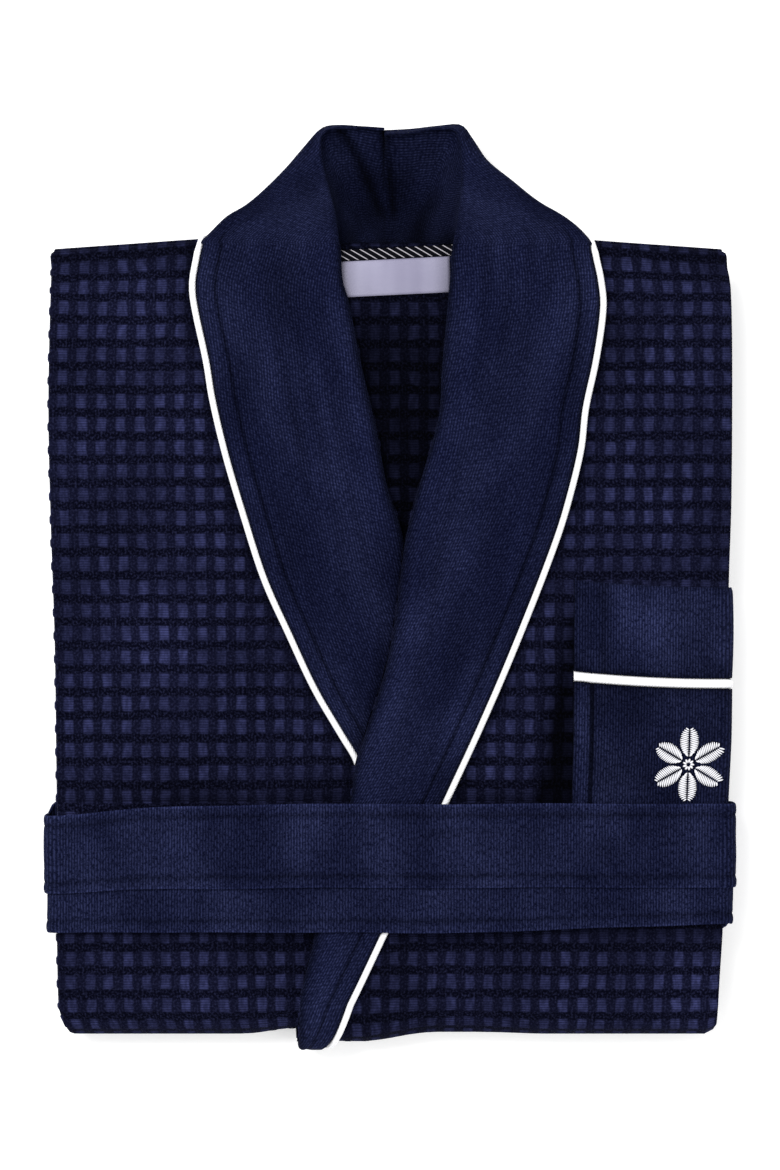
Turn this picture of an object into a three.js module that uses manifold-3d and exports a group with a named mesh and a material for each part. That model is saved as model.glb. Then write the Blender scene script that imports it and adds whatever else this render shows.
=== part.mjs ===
// A shawl-collar bathrobe in waffle cloth with velour trim, folded flat into a rectangle and
// held by its own belt. +X is the wearer's left, +Y points to the collar, +Z is up; millimetres.
// The robe lies front up: its sides and sleeves are turned under, and its lower half is folded
// up beneath, so every cloth is a thin sheet bent by the same three folds.
import * as THREE from 'three';
import Module from 'manifold-3d';
import { mergeVertices } from 'three/addons/utils/BufferGeometryUtils.js';

// ---- driving dimensions -------------------------------------------------------------------
const HALF_WIDTH = 228; // centre to the outside of each side fold
const SHOULDER_Y = 225; // shoulder line at the collar
const SHOULDER_DROP = 7; // how much lower the shoulder line is at the outer corner
const FOLD_END_Y = -302; // outside of the bottom fold
const HEM_Y = 200; // where the hem ends under the shoulders
const SIDE_TURN = 110; // width of cloth turned under at each side
const CLOTH = 2.2; // waffle cloth, with its pile
const AIR = 1.0; // between two body layers
const VELOUR = 2.0; // trim cloth
const TRIM_GAP = 0.85; // between two trim layers
const SLEEVE_ROOM = 6.2; // height between the folded halves, besides what the collar needs
const PIPING_RADIUS = 2.1;
const SEAM_GAP = 0.4; // between pieces that meet edge to edge

const COLLAR_TOP_Y = 306; // top edge of the rolled collar
const COLLAR_DROP = 8; // how much the collar sinks from the shoulder line to its top edge
const FALL_EDGE_Y = 204; // free edge of the collar's fall behind the neck
const FALL_GAP = 1.9; // how much lower the fall hangs than its three cloths need
const STAND_UNDER = 9.7; // how far the foot of the stand lies below the front face
const SEAM_X = -3; // centre-back seam of the collar

const NECK_TAPE = { x0: -41, x1: 51, y0: 217, y1: 224, thick: 1.8 };
const NECK_TRIM = 12; // front panels stop this far outside the roll line at the neck
const NECK_LABEL = { x0: -40, x1: 41, y0: 192, y1: 216, thick: 0.6 };

// Pockets start beside the turned-under edge of the side.
const CHEST_POCKET = { beside: 6, top: 2, band: 61, piping: 6, length: 118, wrap: 50 };
const HIP_POCKET = { beside: 10, top: 30, band: 55, piping: 5, length: 130, wrap: 55 };
const EMBLEM = { inset: 26, above: 26, petal: 16, petals: 6, ring: 13, thick: 0.7 };

const SLEEVE = { inner: 6, inset: 10, top: 193, above: 90, gap: 0.35, hollow: 0.5 };
const CUFF = { length: 58, piping: 4 };

const BELT_WIDTH = 56;
const BELT_CLOTH = 1.9;
const BELT_GAP = 0.4;
const BELT_RISE = 155; // upper edge of the outer turn, above the bottom fold
const BELT_STEP = 30; // how much lower the inner turn lies, so that it shows
const BELT_CORNER = 5;
const BELT_PINCH = 0.8; // thickness that the belt leaves of the folded robe
const BELT_LOOP = { width: 8, length: 55, below: 3, thick: 1.4 };

// ---- values that follow -------------------------------------------------------------------
const PITCH = CLOTH + AIR;
const STACK = 4 * PITCH - AIR; // front, back, and both again where they are turned under
const SIDE_CENTRE = STACK / 2;
const SIDE_X = HALF_WIDTH - SIDE_CENTRE; // where the side fold starts
const SIDE_ARC = Math.PI * SIDE_CENTRE;
const SEAM_W = SIDE_X + SIDE_ARC + SIDE_TURN - SIDE_CENTRE; // side seam, along the cloth
const SEAM_EDGE_X = HALF_WIDTH - SIDE_TURN; // side seam, where it lies
const COLLAR_STACK = 2 * (VELOUR + TRIM_GAP);
const PACK_HEIGHT = 2 * STACK + 2 * COLLAR_STACK + SLEEVE_ROOM; // outside of both halves
const FOLD_RADIUS = PACK_HEIGHT / 2;
const FOLD_Y = FOLD_END_Y + FOLD_RADIUS;
const FOLD_START = SHOULDER_Y - FOLD_Y;
const FOLD_END = FOLD_START + Math.PI * FOLD_RADIUS;
const BODY_LENGTH = FOLD_END + HEM_Y - FOLD_Y;
const OVERLAP = COLLAR_STACK + TRIM_GAP + CLOTH; // height that the left front climbs
const CENTRE_SAG = 2 * PITCH; // room in the middle, where no side is turned under
const BELT_LIFT = 2 * (BELT_CLOTH + BELT_GAP) + 0.2;
const BELT_OUTER_Y = FOLD_END_Y + BELT_RISE;
const BELT_INNER_Y = BELT_OUTER_Y - BELT_STEP;
const BELT_SIDE = BELT_PINCH * (PACK_HEIGHT + VELOUR + TRIM_GAP) + BELT_LIFT + 0.86;
const BELT_CROWN = BELT_PINCH * (PACK_HEIGHT - CENTRE_SAG + OVERLAP + COLLAR_STACK) + BELT_LIFT + 0.7;

const wasm = await Module();
wasm.setup();

// ---- curves -------------------------------------------------------------------------------
const steps = (a, b, n) => Array.from({ length: n + 1 }, (_, i) => a + ((b - a) * i) / n);
const clamp01 = (t) => Math.min(1, Math.max(0, t));
const ramp = (a, b, x) => {
  const t = clamp01((x - a) / (b - a));
  return t * t * (3 - 2 * t);
};

// A smooth value along the cloth through [y, value] points; s is the distance below the shoulder.
function along(points, hidden = []) {
  const knots = points.map(([y, v]) => [SHOULDER_Y - y, v]);
  knots.push(...hidden.map(([extra, v]) => [FOLD_END + extra, v]));
  const slope = knots.map((k, i) => {
    const a = knots[Math.max(0, i - 1)];
    const b = knots[Math.min(knots.length - 1, i + 1)];
    return (b[1] - a[1]) / (b[0] - a[0]);
  });
  return (s) => {
    let i = 0;
    while (i < knots.length - 2 && s > knots[i + 1][0]) i += 1;
    const [s0, v0] = knots[i];
    const [s1, v1] = knots[i + 1];
    const h = s1 - s0;
    const t = clamp01((s - s0) / h);
    const u = 1 - t;
    return v0 * u * u * (1 + 2 * t) + v1 * t * t * (3 - 2 * t)
      + h * t * u * (slope[i] * u - slope[i + 1] * t);
  };
}

// Roll lines (inner edges) and piping lines of the two collar halves. Wearer's left is +X.
const rollLeft = along([
  [306, 46], [271, 48], [227, 43], [195, 40], [141, 35], [111, 33], [64, 20], [28, 11],
  [-25, 4], [-60, -3], [-120, -22], [-149, -27], [-235, -50], [-282, -61],
], [[0, -66], [110, -69], [490, -69]]);
const pipeLeft = along([
  [225, 138], [201, 141], [184, 142], [149, 137], [116, 130], [89, 127], [55, 119], [28, 111],
  [-13, 96], [-74, 71], [-149, 37], [-235, -4], [-282, -26],
], [[0, -35], [110, -38], [490, -38]]);
const rollRight = along([
  [306, -45], [280, -44], [259, -38], [240, -33], [202, -31], [189, -27], [149, -19], [101, -8],
  [64, -1], [33, 9], [0, 14], [-60, 13], [-120, 8], [-149, 3], [-235, -14], [-282, -26],
], [[0, -30], [110, -31], [490, -31]]);
const pipeRight = along([
  [225, -127], [214, -129], [201, -131], [187, -130], [147, -121], [123, -117], [84, -108],
  [42, -96], [1, -83], [-35, -67], [-71, -50], [-103, -31], [-118, -22], [-149, -13],
  [-235, -38], [-282, -49],
], [[0, -53], [110, -57], [490, -57]]);
// How far the outline lies outside the straight side folds.
const bulgeRight = along([
  [219, -2.5], [201, 0], [150, 1.2], [55, 0.7], [0, -1], [-100, -2], [-150, -4],
  [-229, -5], [-263, -7], [-300, -9],
]);
const bulgeLeft = along([
  [219, -1.5], [123, 0.6], [38, -1], [-38, -3.5], [-153, -5], [-282, -6], [-300, -11],
]);
const collarTopRight = along([[306, -48], [275, -72], [259, -89], [244, -110], [231, -122],
  [225, -127]]);
const collarTopLeft = along([[306, 51], [282, 67], [267, 86], [253, 103], [243, 120],
  [231, 133], [225, 138]]);

// ---- folds --------------------------------------------------------------------------------
// Width w and depth d of the open robe -> place across the folded robe and depth there.
function sideFold(w, d) {
  const side = Math.sign(w);
  const past = Math.abs(w) - SIDE_X;
  if (past <= 0) return [w, d];
  if (past >= SIDE_ARC) return [side * (SIDE_X - past + SIDE_ARC), STACK - d];
  const turn = (past / SIDE_ARC) * Math.PI;
  const reach = SIDE_CENTRE - d;
  return [side * (SIDE_X + reach * Math.sin(turn)), SIDE_CENTRE - reach * Math.cos(turn)];
}

// Distance s below the shoulder and depth d -> y and z round the bottom fold.
function lengthFold(s, d) {
  if (s <= FOLD_START) return [SHOULDER_Y - s, PACK_HEIGHT - d];
  if (s >= FOLD_END) return [FOLD_Y + s - FOLD_END, d];
  const turn = (s - FOLD_START) / FOLD_RADIUS;
  const reach = FOLD_RADIUS - d;
  return [FOLD_Y - reach * Math.sin(turn), FOLD_RADIUS + reach * Math.cos(turn)];
}

// The folded robe's own outline, its sloping shoulders, and the pinch of the belt.
const beltPinch = (y) => 1 - ramp(BELT_OUTER_Y + 3, BELT_OUTER_Y + 50, y);
function settle(x, y, z) {
  const bulge = x > 0 ? bulgeRight : bulgeLeft;
  const slope = clamp01((Math.abs(x) - 126) / (HALF_WIDTH - 126));
  const pinch = beltPinch(y);
  return new THREE.Vector3(
    x * (1 + bulge(SHOULDER_Y - y) / HALF_WIDTH),
    y - SHOULDER_DROP * slope * ramp(SHOULDER_Y - 40, SHOULDER_Y, y),
    z + pinch * (BELT_LIFT - (1 - BELT_PINCH) * z),
  );
}

// How far each layer is pushed in or out by what lies over and under it.
const below = (s) => ramp(FOLD_START + 0.3 * (FOLD_END - FOLD_START), FOLD_END, s);
const centre = (x) => 1 - ramp(SEAM_EDGE_X - 63, SEAM_EDGE_X - 6, Math.abs(x));
const climb = (x, s) => (1 - ramp(rollRight(s) + 4, rollRight(s) + 64, x)) * ramp(105, 180, s);
const pocketPush = (x, s) => {
  const inner = SEAM_EDGE_X + HIP_POCKET.beside;
  const across = ramp(inner - 28, inner - 2, Math.abs(x));
  const down = ramp(HIP_START - 30, HIP_START - 4, s) * (1 - ramp(HIP_TOP + 4, HIP_TOP + 30, s));
  return (VELOUR + TRIM_GAP) * across * down;
};
const drop = (s) => COLLAR_DROP * clamp01(-s / (COLLAR_TOP_Y - SHOULDER_Y)) ** 1.3;
function leftShift(x, s) {
  const m = below(s);
  const band = 1 - ramp(pipeLeft(s) + 4, pipeLeft(s) + 50, x);
  return (1 - m) * (CENTRE_SAG * centre(x) - OVERLAP * climb(x, s)) + m * COLLAR_STACK * band
    + pocketPush(x, s) + drop(s);
}
function rightShift(x, s) {
  const m = below(s);
  const under = ramp(rollLeft(s) - 36, rollLeft(s) - 4, x);
  return (1 - m) * CENTRE_SAG * centre(x) + m * (OVERLAP + COLLAR_STACK) * under
    + pocketPush(x, s) + drop(s);
}
function backShift(x, s) {
  const m = below(s);
  const room = ramp(rollLeft(s) - 47, rollLeft(s) - 15, x)
    * (1 - ramp(rollRight(s) + 6, rollRight(s) + 70, x));
  return (1 - m) * CENTRE_SAG * centre(x) + m * (OVERLAP + COLLAR_STACK - 0.6) * room
    + pocketPush(x, s);
}

function robePoint(w, s, d, shift) {
  const [x, depth] = sideFold(w, d);
  const [y, z] = lengthFold(s, depth + shift(x, s));
  return settle(x, y, z);
}

// ---- solids -------------------------------------------------------------------------------
// A flat box of cloth, cut on the grid of us and vs, bent by place(u, v, t), t from 0 to 1
// through its thickness.
function bent(us, vs, place) {
  const geometry = new THREE.BoxGeometry(1, 1, 1, us.length - 1, vs.length - 1, 1);
  geometry.deleteAttribute('normal');
  geometry.deleteAttribute('uv');
  const under = geometry.groups[5]; // its squares are cut along the same diagonal as the top's
  const index = geometry.index.array;
  for (let i = under.start; i < under.start + under.count; i += 6) {
    const [a, b, d, , c] = index.slice(i, i + 6);
    index.set([a, b, c, a, c, d], i);
  }
  const p = geometry.attributes.position;
  for (let i = 0; i < p.count; i += 1) {
    const u = us[Math.round((p.getX(i) + 0.5) * (us.length - 1))];
    const v = vs[Math.round((p.getY(i) + 0.5) * (vs.length - 1))];
    const q = place(u, v, p.getZ(i) + 0.5);
    p.setXYZ(i, q.x, q.y, q.z);
  }
  return outward(mergeVertices(geometry, 1e-4));
}

function signedVolume(geometry) {
  const [a, b, c] = [new THREE.Vector3(), new THREE.Vector3(), new THREE.Vector3()];
  const p = geometry.attributes.position;
  const index = geometry.index.array;
  let volume = 0;
  for (let i = 0; i < index.length; i += 3) {
    a.fromBufferAttribute(p, index[i]);
    b.fromBufferAttribute(p, index[i + 1]);
    c.fromBufferAttribute(p, index[i + 2]);
    volume += a.dot(b.cross(c));
  }
  return volume / 6;
}

function outward(geometry) {
  if (signedVolume(geometry) > 0) return geometry;
  const index = geometry.index.array;
  for (let i = 0; i < index.length; i += 3) [index[i], index[i + 1]] = [index[i + 1], index[i]];
  return geometry;
}

function join(...geometries) {
  const solids = geometries.map((g) => new wasm.Manifold(new wasm.Mesh({
    numProp: 3,
    vertProperties: new Float32Array(g.attributes.position.array),
    triVerts: new Uint32Array(g.index.array),
  })));
  const mesh = solids.reduce((all, one) => all.add(one)).getMesh();
  const geometry = new THREE.BufferGeometry();
  geometry.setAttribute('position', new THREE.BufferAttribute(mesh.vertProperties, 3));
  geometry.setIndex(new THREE.BufferAttribute(mesh.triVerts, 1));
  return geometry;
}

const BAND_COLUMNS = 5; // columns of the grid across a collar half
const SIDE_COLUMNS = Math.round(SIDE_X / 27.8); // columns from there to the side fold
const HIP_TOP = FOLD_END + HIP_POCKET.top - FOLD_Y;
const HIP_START = HIP_TOP - HIP_POCKET.band - HIP_POCKET.piping - HIP_POCKET.length - 2 * SEAM_GAP;
const PINCH_LINES = steps(SHOULDER_Y - BELT_OUTER_Y - 50, SHOULDER_Y - BELT_OUTER_Y - 3, 3);
const LENGTH_LINES = [...steps(0, 105, 2), ...steps(135, 215, 2), ...steps(255, 290, 1),
  ...PINCH_LINES, FOLD_START - 81.4, ...steps(FOLD_START, FOLD_END, 6),
  ...steps(FOLD_END + 50, HIP_START - 30, 1), HIP_START - 17, HIP_START - 4,
  ...PINCH_LINES.map((s) => FOLD_START + FOLD_END - s), HIP_TOP - 57.5,
  HIP_TOP + 4, HIP_TOP + 17, HIP_TOP + 30, BODY_LENGTH - 67.5]
  .sort((a, b) => a - b).filter((s, i, all) => i === 0 || s - all[i - 1] > 2);
const lengthLines = (from, to) => (
  [from, ...LENGTH_LINES.filter((s) => s > from + 3 && s < to - 3), to]);
const sideLines = [SIDE_X, ...steps(SIDE_X, SIDE_X + SIDE_ARC, 4).slice(1), SEAM_W];

const group = new THREE.Group();
function add(name, geometry, material) {
  const mesh = new THREE.Mesh(geometry, material);
  mesh.name = name;
  group.add(mesh);
}

// ---- materials ----------------------------------------------------------------------------
const cloth = (color, roughness) => new THREE.MeshStandardMaterial({ color, roughness, metalness: 0 });
const waffle = cloth(0x1c1d45, 0.95);
const velour = cloth(0x1a1f4c, 0.9);
const lining = cloth(0x15173a, 0.95);
const cord = cloth(0xf2f2f4, 0.6);
const satin = cloth(0xd6d3e6, 0.35);
const tape = cloth(0x0d0d14, 0.8);
const thread = cloth(0xeeeef2, 0.5);

// ---- body ---------------------------------------------------------------------------------
function backPanel() {
  const half = [...steps(18, SEAM_EDGE_X - 60, Math.round((SEAM_EDGE_X - 78) / 20)),
    ...[-46, -32, -18, -5, 8].map((from) => SEAM_EDGE_X + from)];
  const us = [...[...half, ...sideLines].map((w) => -w).reverse(), 0, ...half, ...sideLines];
  const place = (w, s, t) => robePoint(w, s, PITCH + t * CLOTH, backShift);
  return bent(us, lengthLines(0, BODY_LENGTH), place);
}

function frontPanel(side) {
  const roll = side > 0 ? rollLeft : rollRight;
  const shift = side > 0 ? leftShift : rightShift;
  const pipe = side > 0 ? pipeLeft : pipeRight;
  const us = [...steps(0, 1, BAND_COLUMNS), ...steps(1, 2, SIDE_COLUMNS).slice(1),
    ...sideLines.slice(1).map((w) => 2 + w - SIDE_X)];
  const place = (u, s, t) => {
    const inner = roll(s) + side * (SEAM_GAP + NECK_TRIM * (1 - ramp(15, 60, s)));
    const flat = u <= 1 ? roll(s) + (pipe(s) - roll(s)) * u : pipe(s) + (side * SIDE_X - pipe(s)) * (u - 1);
    const w = u <= 2 ? side * Math.max(side * inner + 2 * u, side * flat) : side * (SIDE_X + u - 2);
    return robePoint(w, s, t * CLOTH, shift);
  };
  return bent(us, lengthLines(0, BODY_LENGTH), place);
}

// A sleeve or cuff is a flattened tube of cloth, closed along its seam at the inner fold.
function flatTube(side, y0, y1, wall, rows) {
  const [a, b] = [SLEEVE.inner + 3, HALF_WIDTH - SLEEVE.inset - 3];
  const half = SLEEVE.hollow + CLOTH / 2;
  const z = PACK_HEIGHT - STACK - TRIM_GAP - VELOUR - SLEEVE.gap - half - CLOTH / 2;
  const gap = 0.25;
  const us = [...steps(gap, Math.PI / 2, 2), ...steps(1, 3, 2).map((k) => 10 + k),
    ...steps(0, Math.PI, 4).slice(1, -1).map((k) => 20 + k),
    ...steps(1, 3, 2).map((k) => 30 + k), ...steps(Math.PI / 2, Math.PI - gap, 2).map((k) => 40 + k)];
  const section = (u, r) => {
    if (u < 10) return [a - r * Math.cos(u), z + r * Math.sin(u)];
    if (u < 20) return [a + ((b - a) * (u - 10)) / 4, z + r];
    if (u < 30) return [b + r * Math.sin(u - 20), z + r * Math.cos(u - 20)];
    if (u < 40) return [b - ((b - a) * (u - 30)) / 4, z - r];
    return [a - r * Math.sin(u - 40 - Math.PI / 2), z - r * Math.cos(u - 40 - Math.PI / 2)];
  };
  const place = (u, y, t) => {
    const [x, h] = section(u, half + (t - 0.5) * wall);
    return settle(side * x, y, h);
  };
  return bent(us, steps(y0, y1, rows), place);
}

// ---- collar -------------------------------------------------------------------------------
// Each half has a front that lies on its panel from hem to neck, and rolls over the top edge of
// the neck, where it falls behind. The upper collar shows; the under collar lies inside it.
function collarFront(side, outer) {
  const [roll, pipe, top, shift] = side > 0
    ? [rollLeft, pipeLeft, collarTopLeft, leftShift]
    : [rollRight, pipeRight, collarTopRight, rightShift];
  const inset = outer ? 0 : VELOUR + TRIM_GAP;
  const depth = outer ? -COLLAR_STACK : -COLLAR_STACK + VELOUR + TRIM_GAP;
  const start = SHOULDER_Y - COLLAR_TOP_Y + (outer ? 0 : 14);
  const place = (u, s, t) => {
    const a = roll(s) + (outer ? 0 : side * inset);
    const far = s < 0 ? top(s) : pipe(s);
    const edge = s < 0 ? top(s) - side * inset * 1.4 : pipe(s) - side * (PIPING_RADIUS + SEAM_GAP);
    const x = side * (roll(s) + (far - roll(s)) * u);
    return robePoint(side * Math.min(Math.max(x, side * a + u), side * edge - 1 + u), s,
      depth + t * VELOUR, shift);
  };
  const rows = [...steps(start, 0, 4).slice(0, -1), ...lengthLines(0, BODY_LENGTH)];
  return bent(steps(0, 1, BAND_COLUMNS), rows, place);
}

const frontZ = (x, y, d, side) => {
  const shift = side > 0 ? leftShift : rightShift;
  return PACK_HEIGHT - d - shift(x, SHOULDER_Y - y);
};

// A standing wall of cloth between two heights, along a plan path.
function wall(path, thick, low, high, side) {
  const place = (i, v, t) => {
    const [x, y] = path[i];
    const before = path[Math.max(0, i - 1)];
    const after = path[Math.min(path.length - 1, i + 1)];
    const out = new THREE.Vector2(after[0] - before[0], after[1] - before[1]).normalize();
    const q = [x - side * out.y * thick * t, y + side * out.x * thick * t];
    return new THREE.Vector3(q[0], q[1], v ? high(q[0], q[1]) : low(q[0], q[1]));
  };
  return bent(path.map((_, i) => i), [0, 1], place);
}

function collarHalf(side, outer) {
  const inset = outer ? 0 : VELOUR + TRIM_GAP;
  const top = side > 0 ? collarTopLeft : collarTopRight;
  const roll = side > 0 ? rollLeft : rollRight;
  const depth = outer ? -COLLAR_STACK : -COLLAR_STACK + VELOUR + TRIM_GAP;
  const seam = SEAM_X + side * 0.3;
  const topY = COLLAR_TOP_Y - inset * 1.2;
  const sink = (y) => clamp01((y - SHOULDER_Y) / (COLLAR_TOP_Y - SHOULDER_Y));
  const foot = PACK_HEIGHT - STACK - 3 * VELOUR - FALL_GAP + inset;
  const fallZ = (x, y) => foot - 3 * sink(y);
  const rim = [
    ...[233, 244, 259, 275, 292].map((y) => [top(SHOULDER_Y - y) - side * inset, y - inset]),
    [top(SHOULDER_Y - COLLAR_TOP_Y) - side * (inset + 1), topY],
    [(seam + roll(0)) / 2, topY - 1],
    [seam, topY - 2],
  ];
  const sheet = bent(steps(0, 1, rim.length - 1).map((_, i) => i), [0, 1], (i, v, t) => {
    const [x, y] = rim[i];
    const far = [x + (seam - x) * 0.1 * i, FALL_EDGE_Y + 14 * (1 - i / (rim.length - 1)) ** 2];
    const q = v ? far : [x, y];
    return new THREE.Vector3(q[0], q[1], fallZ(q[0], q[1]) + t * VELOUR);
  });
  const skirt = wall(rim, VELOUR, (x, y) => fallZ(x, y) + 0.5,
    (x, y) => (outer || Math.abs(x) > Math.abs(roll(SHOULDER_Y - y)) + 3
      ? frontZ(x, y, depth, side) - 0.5 : fallZ(x, y) + VELOUR + 1), side);
  const parts = [collarFront(side, outer), skirt, sheet];
  if (outer) parts.push(stand(side, seam, topY, roll));
  return join(...parts);
}

// The stand is the inside of the collar, seen through the neck, from the neckline to the roll.
function stand(side, seam, topY, roll) {
  return bent(steps(0, 1, 3), steps(0, 1, 5), (u, v, t) => {
    const y = SHOULDER_Y + 3 + (topY - 1 - SHOULDER_Y - 3) * v;
    const edge = roll(SHOULDER_Y - y) + side * 1;
    const x = seam + (edge - seam) * u;
    const high = frontZ(edge, y, -COLLAR_STACK + VELOUR, side);
    const z = PACK_HEIGHT - STAND_UNDER - 3.2 * Math.sin(Math.PI * v) - 1.5 * v;
    const q = z + (high - z) * u ** 4;
    return new THREE.Vector3(x, y, q - t * VELOUR);
  });
}

function collarPiping(side) {
  const [pipe, shift] = side > 0 ? [pipeLeft, leftShift] : [pipeRight, rightShift];
  const rows = lengthLines(6, BODY_LENGTH);
  const geometry = new THREE.CylinderGeometry(PIPING_RADIUS, PIPING_RADIUS, 1, 6, rows.length - 1);
  return alongRows(geometry, rows, (s, across, up) => {
    const lean = Math.hypot(1, (pipe(s + 4) - pipe(s - 4)) / 8);
    return robePoint(pipe(s) + across * lean, s, -COLLAR_STACK / 2 - up, shift);
  });
}

// Bends a cylinder standing on y: each of its rows goes to place(row value, across, up).
function alongRows(geometry, rows, place) {
  geometry.deleteAttribute('normal');
  geometry.deleteAttribute('uv');
  const p = geometry.attributes.position;
  for (let i = 0; i < p.count; i += 1) {
    const row = Math.round((p.getY(i) + 0.5) * (rows.length - 1));
    const q = place(rows[row], p.getX(i), p.getZ(i));
    p.setXYZ(i, q.x, q.y, q.z);
  }
  return outward(mergeVertices(geometry, 1e-4));
}

// ---- neck ---------------------------------------------------------------------------------
function onBack({ x0, x1, y0, y1, thick }, columns, gap) {
  return bent(steps(x0, x1, columns), steps(y0, y1, 1), (x, y, t) => (
    robePoint(x, SHOULDER_Y - y, PITCH - gap - t * thick, backShift)));
}

// ---- pockets ------------------------------------------------------------------------------
function pocketPiece(side, size, s0, s1, high, shift) {
  const us = [...steps(SEAM_EDGE_X + size.beside, SIDE_X, 3),
    ...steps(SIDE_X, SIDE_X + SIDE_ARC, 4).slice(1), SIDE_X + SIDE_ARC + size.wrap];
  return bent(us, lengthLines(Math.min(s0, s1), Math.max(s0, s1)), (w, s, t) => (
    robePoint(side * w, s, -TRIM_GAP - t * high, shift)));
}

function pocket(prefix, side, size, top, down) {
  const shift = side > 0 ? leftShift : rightShift;
  const bandEnd = top + down * size.band;
  const pipingEnd = bandEnd + down * (SEAM_GAP + size.piping);
  const bodyStart = pipingEnd + down * SEAM_GAP;
  const bodyEnd = bodyStart + down * size.length;
  add(`${prefix}_band`, pocketPiece(side, size, top, bandEnd, VELOUR, shift), velour);
  add(`${prefix}_piping`, pocketPiece(side, size, bandEnd + down * SEAM_GAP, pipingEnd, VELOUR, shift), cord);
  add(prefix, pocketPiece(side, size, bodyStart, bodyEnd, VELOUR, shift), velour);
}

// A plain flower of round petals, stitched in thread.
function emblem() {
  const { petal, petals, ring, thick } = EMBLEM;
  const [x, y] = [HALF_WIDTH - EMBLEM.inset, BELT_OUTER_Y + EMBLEM.above];
  const low = VELOUR + TRIM_GAP + 0.7;
  const shape = (r, cx, cy) => {
    const g = new THREE.CylinderGeometry(r, r, thick, 10, 1);
    g.rotateX(Math.PI / 2);
    g.translate(x + cx, y + cy, low + thick / 2);
    g.deleteAttribute('normal');
    g.deleteAttribute('uv');
    return mergeVertices(g, 1e-4);
  };
  const discs = [shape(ring / 2 + 2, 0, 0)];
  for (let i = 0; i < petals; i += 1) {
    const turn = (i / petals) * Math.PI * 2;
    discs.push(shape(petal / 2, ring * 1.15 * Math.sin(turn), ring * 1.2 * Math.cos(turn)));
  }
  const geometry = join(...discs);
  const p = geometry.attributes.position;
  for (let i = 0; i < p.count; i += 1) {
    const q = robePoint(p.getX(i), SHOULDER_Y - p.getY(i), -p.getZ(i), leftShift);
    p.setXYZ(i, q.x, q.y, q.z);
  }
  return geometry;
}

// ---- belt ---------------------------------------------------------------------------------
// One strip wound twice round the folded robe; the inner turn starts and the outer turn ends
// under the robe, and the strip moves up by the difference of the two turns as it passes there.
function beltSection(turn, r) {
  const [left, right, side, crown, corner] = [
    1.5 - HALF_WIDTH, HALF_WIDTH, BELT_SIDE, BELT_CROWN, BELT_CORNER];
  const low = 2 * (BELT_CLOTH + BELT_GAP);
  const cut = corner * (1 - Math.SQRT1_2);
  const knots = [
    [0, low, 0, -1], [right - corner, low, 0, -1], [right - cut, low + cut, 0.7, -0.7],
    [right, low + corner, 1, 0], [right, side - corner, 1, 0],
    [right - cut, side - cut, 0.7, 0.7], [right - corner, side, 0, 1], [120, side, 0, 1],
    [60, crown, 0, 1], [-80, crown, 0, 1], [-140, side, 0, 1],
    [left + corner, side, 0, 1], [left + cut, side - cut, -0.7, 0.7],
    [left, side - corner, -1, 0], [left, low + corner, -1, 0],
    [left + cut, low + cut, -0.7, -0.7], [left + corner, low, 0, -1], [-60, low, 0, -1],
  ];
  const [x, z, nx, nz] = knots[turn % knots.length];
  return [x + nx * r, z + nz * r, knots.length];
}

function belt() {
  const count = beltSection(0, 0)[2];
  const us = steps(0, 2 * count - 1, 2 * count - 1);
  return bent(us, [0, 1], (i, v, t) => {
    const second = ramp(count - 1.5, count - 0.5, i);
    const r = second * (BELT_CLOTH + BELT_GAP) + t * BELT_CLOTH;
    const [x, z] = beltSection(Math.round(i), r);
    const y = BELT_INNER_Y + second * (BELT_OUTER_Y - BELT_INNER_Y) - v * BELT_WIDTH;
    return new THREE.Vector3(x, y, z);
  });
}

function beltLoop(side) {
  const { width, length, below: gap, thick } = BELT_LOOP;
  const outer = SEAM_EDGE_X - 1;
  const top = BELT_OUTER_Y - gap;
  return bent([outer - width, outer], steps(top - length, top, 2), (x, y, t) => (
    robePoint(side * x, SHOULDER_Y - y, PITCH + CLOTH + 2.2 + t * thick, () => 0)));
}

// ---- assembly -----------------------------------------------------------------------------
add('back_panel', backPanel(), waffle);
add('left_front_panel', frontPanel(1), waffle);
add('right_front_panel', frontPanel(-1), waffle);
for (const [name, side] of [['left', 1], ['right', -1]]) {
  const sleeveEnd = FOLD_END_Y + SLEEVE.above;
  const cuffTop = sleeveEnd - SEAM_GAP - CUFF.piping - SEAM_GAP;
  add(`${name}_sleeve`, flatTube(side, SLEEVE.top, sleeveEnd, CLOTH, 8), waffle);
  add(`${name}_cuff_piping`, flatTube(side, sleeveEnd - SEAM_GAP, cuffTop + SEAM_GAP, 2.8, 1), cord);
  add(`${name}_cuff`, flatTube(side, cuffTop, cuffTop - CUFF.length, CLOTH, 2), velour);
  add(`collar_${name}`, collarHalf(side, true), velour);
  add(`under_collar_${name}`, collarHalf(side, false), lining);
  add(`collar_piping_${name}`, collarPiping(side), cord);
  add(`belt_loop_${name}`, beltLoop(side), velour);
}
add('hanger_loop', onBack(NECK_TAPE, 5, 0.35), tape);
add('neck_label', onBack(NECK_LABEL, 5, 0.35), satin);
pocket('chest_pocket', 1, CHEST_POCKET, SHOULDER_Y - CHEST_POCKET.top, 1);
add('pocket_emblem', emblem(), thread);
pocket('left_hip_pocket', 1, HIP_POCKET, HIP_TOP, -1);
pocket('right_hip_pocket', -1, HIP_POCKET, HIP_TOP, -1);
add('belt', belt(), velour);

// The origin is the middle of the base.
const robe = new THREE.Group();
robe.add(group);
const box = new THREE.Box3().setFromObject(group);
group.position.set(-(box.min.x + box.max.x) / 2, -(box.min.y + box.max.y) / 2, -box.min.z);

export default robe;
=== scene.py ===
import math

import bmesh
import bpy
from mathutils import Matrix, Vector, noise

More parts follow.
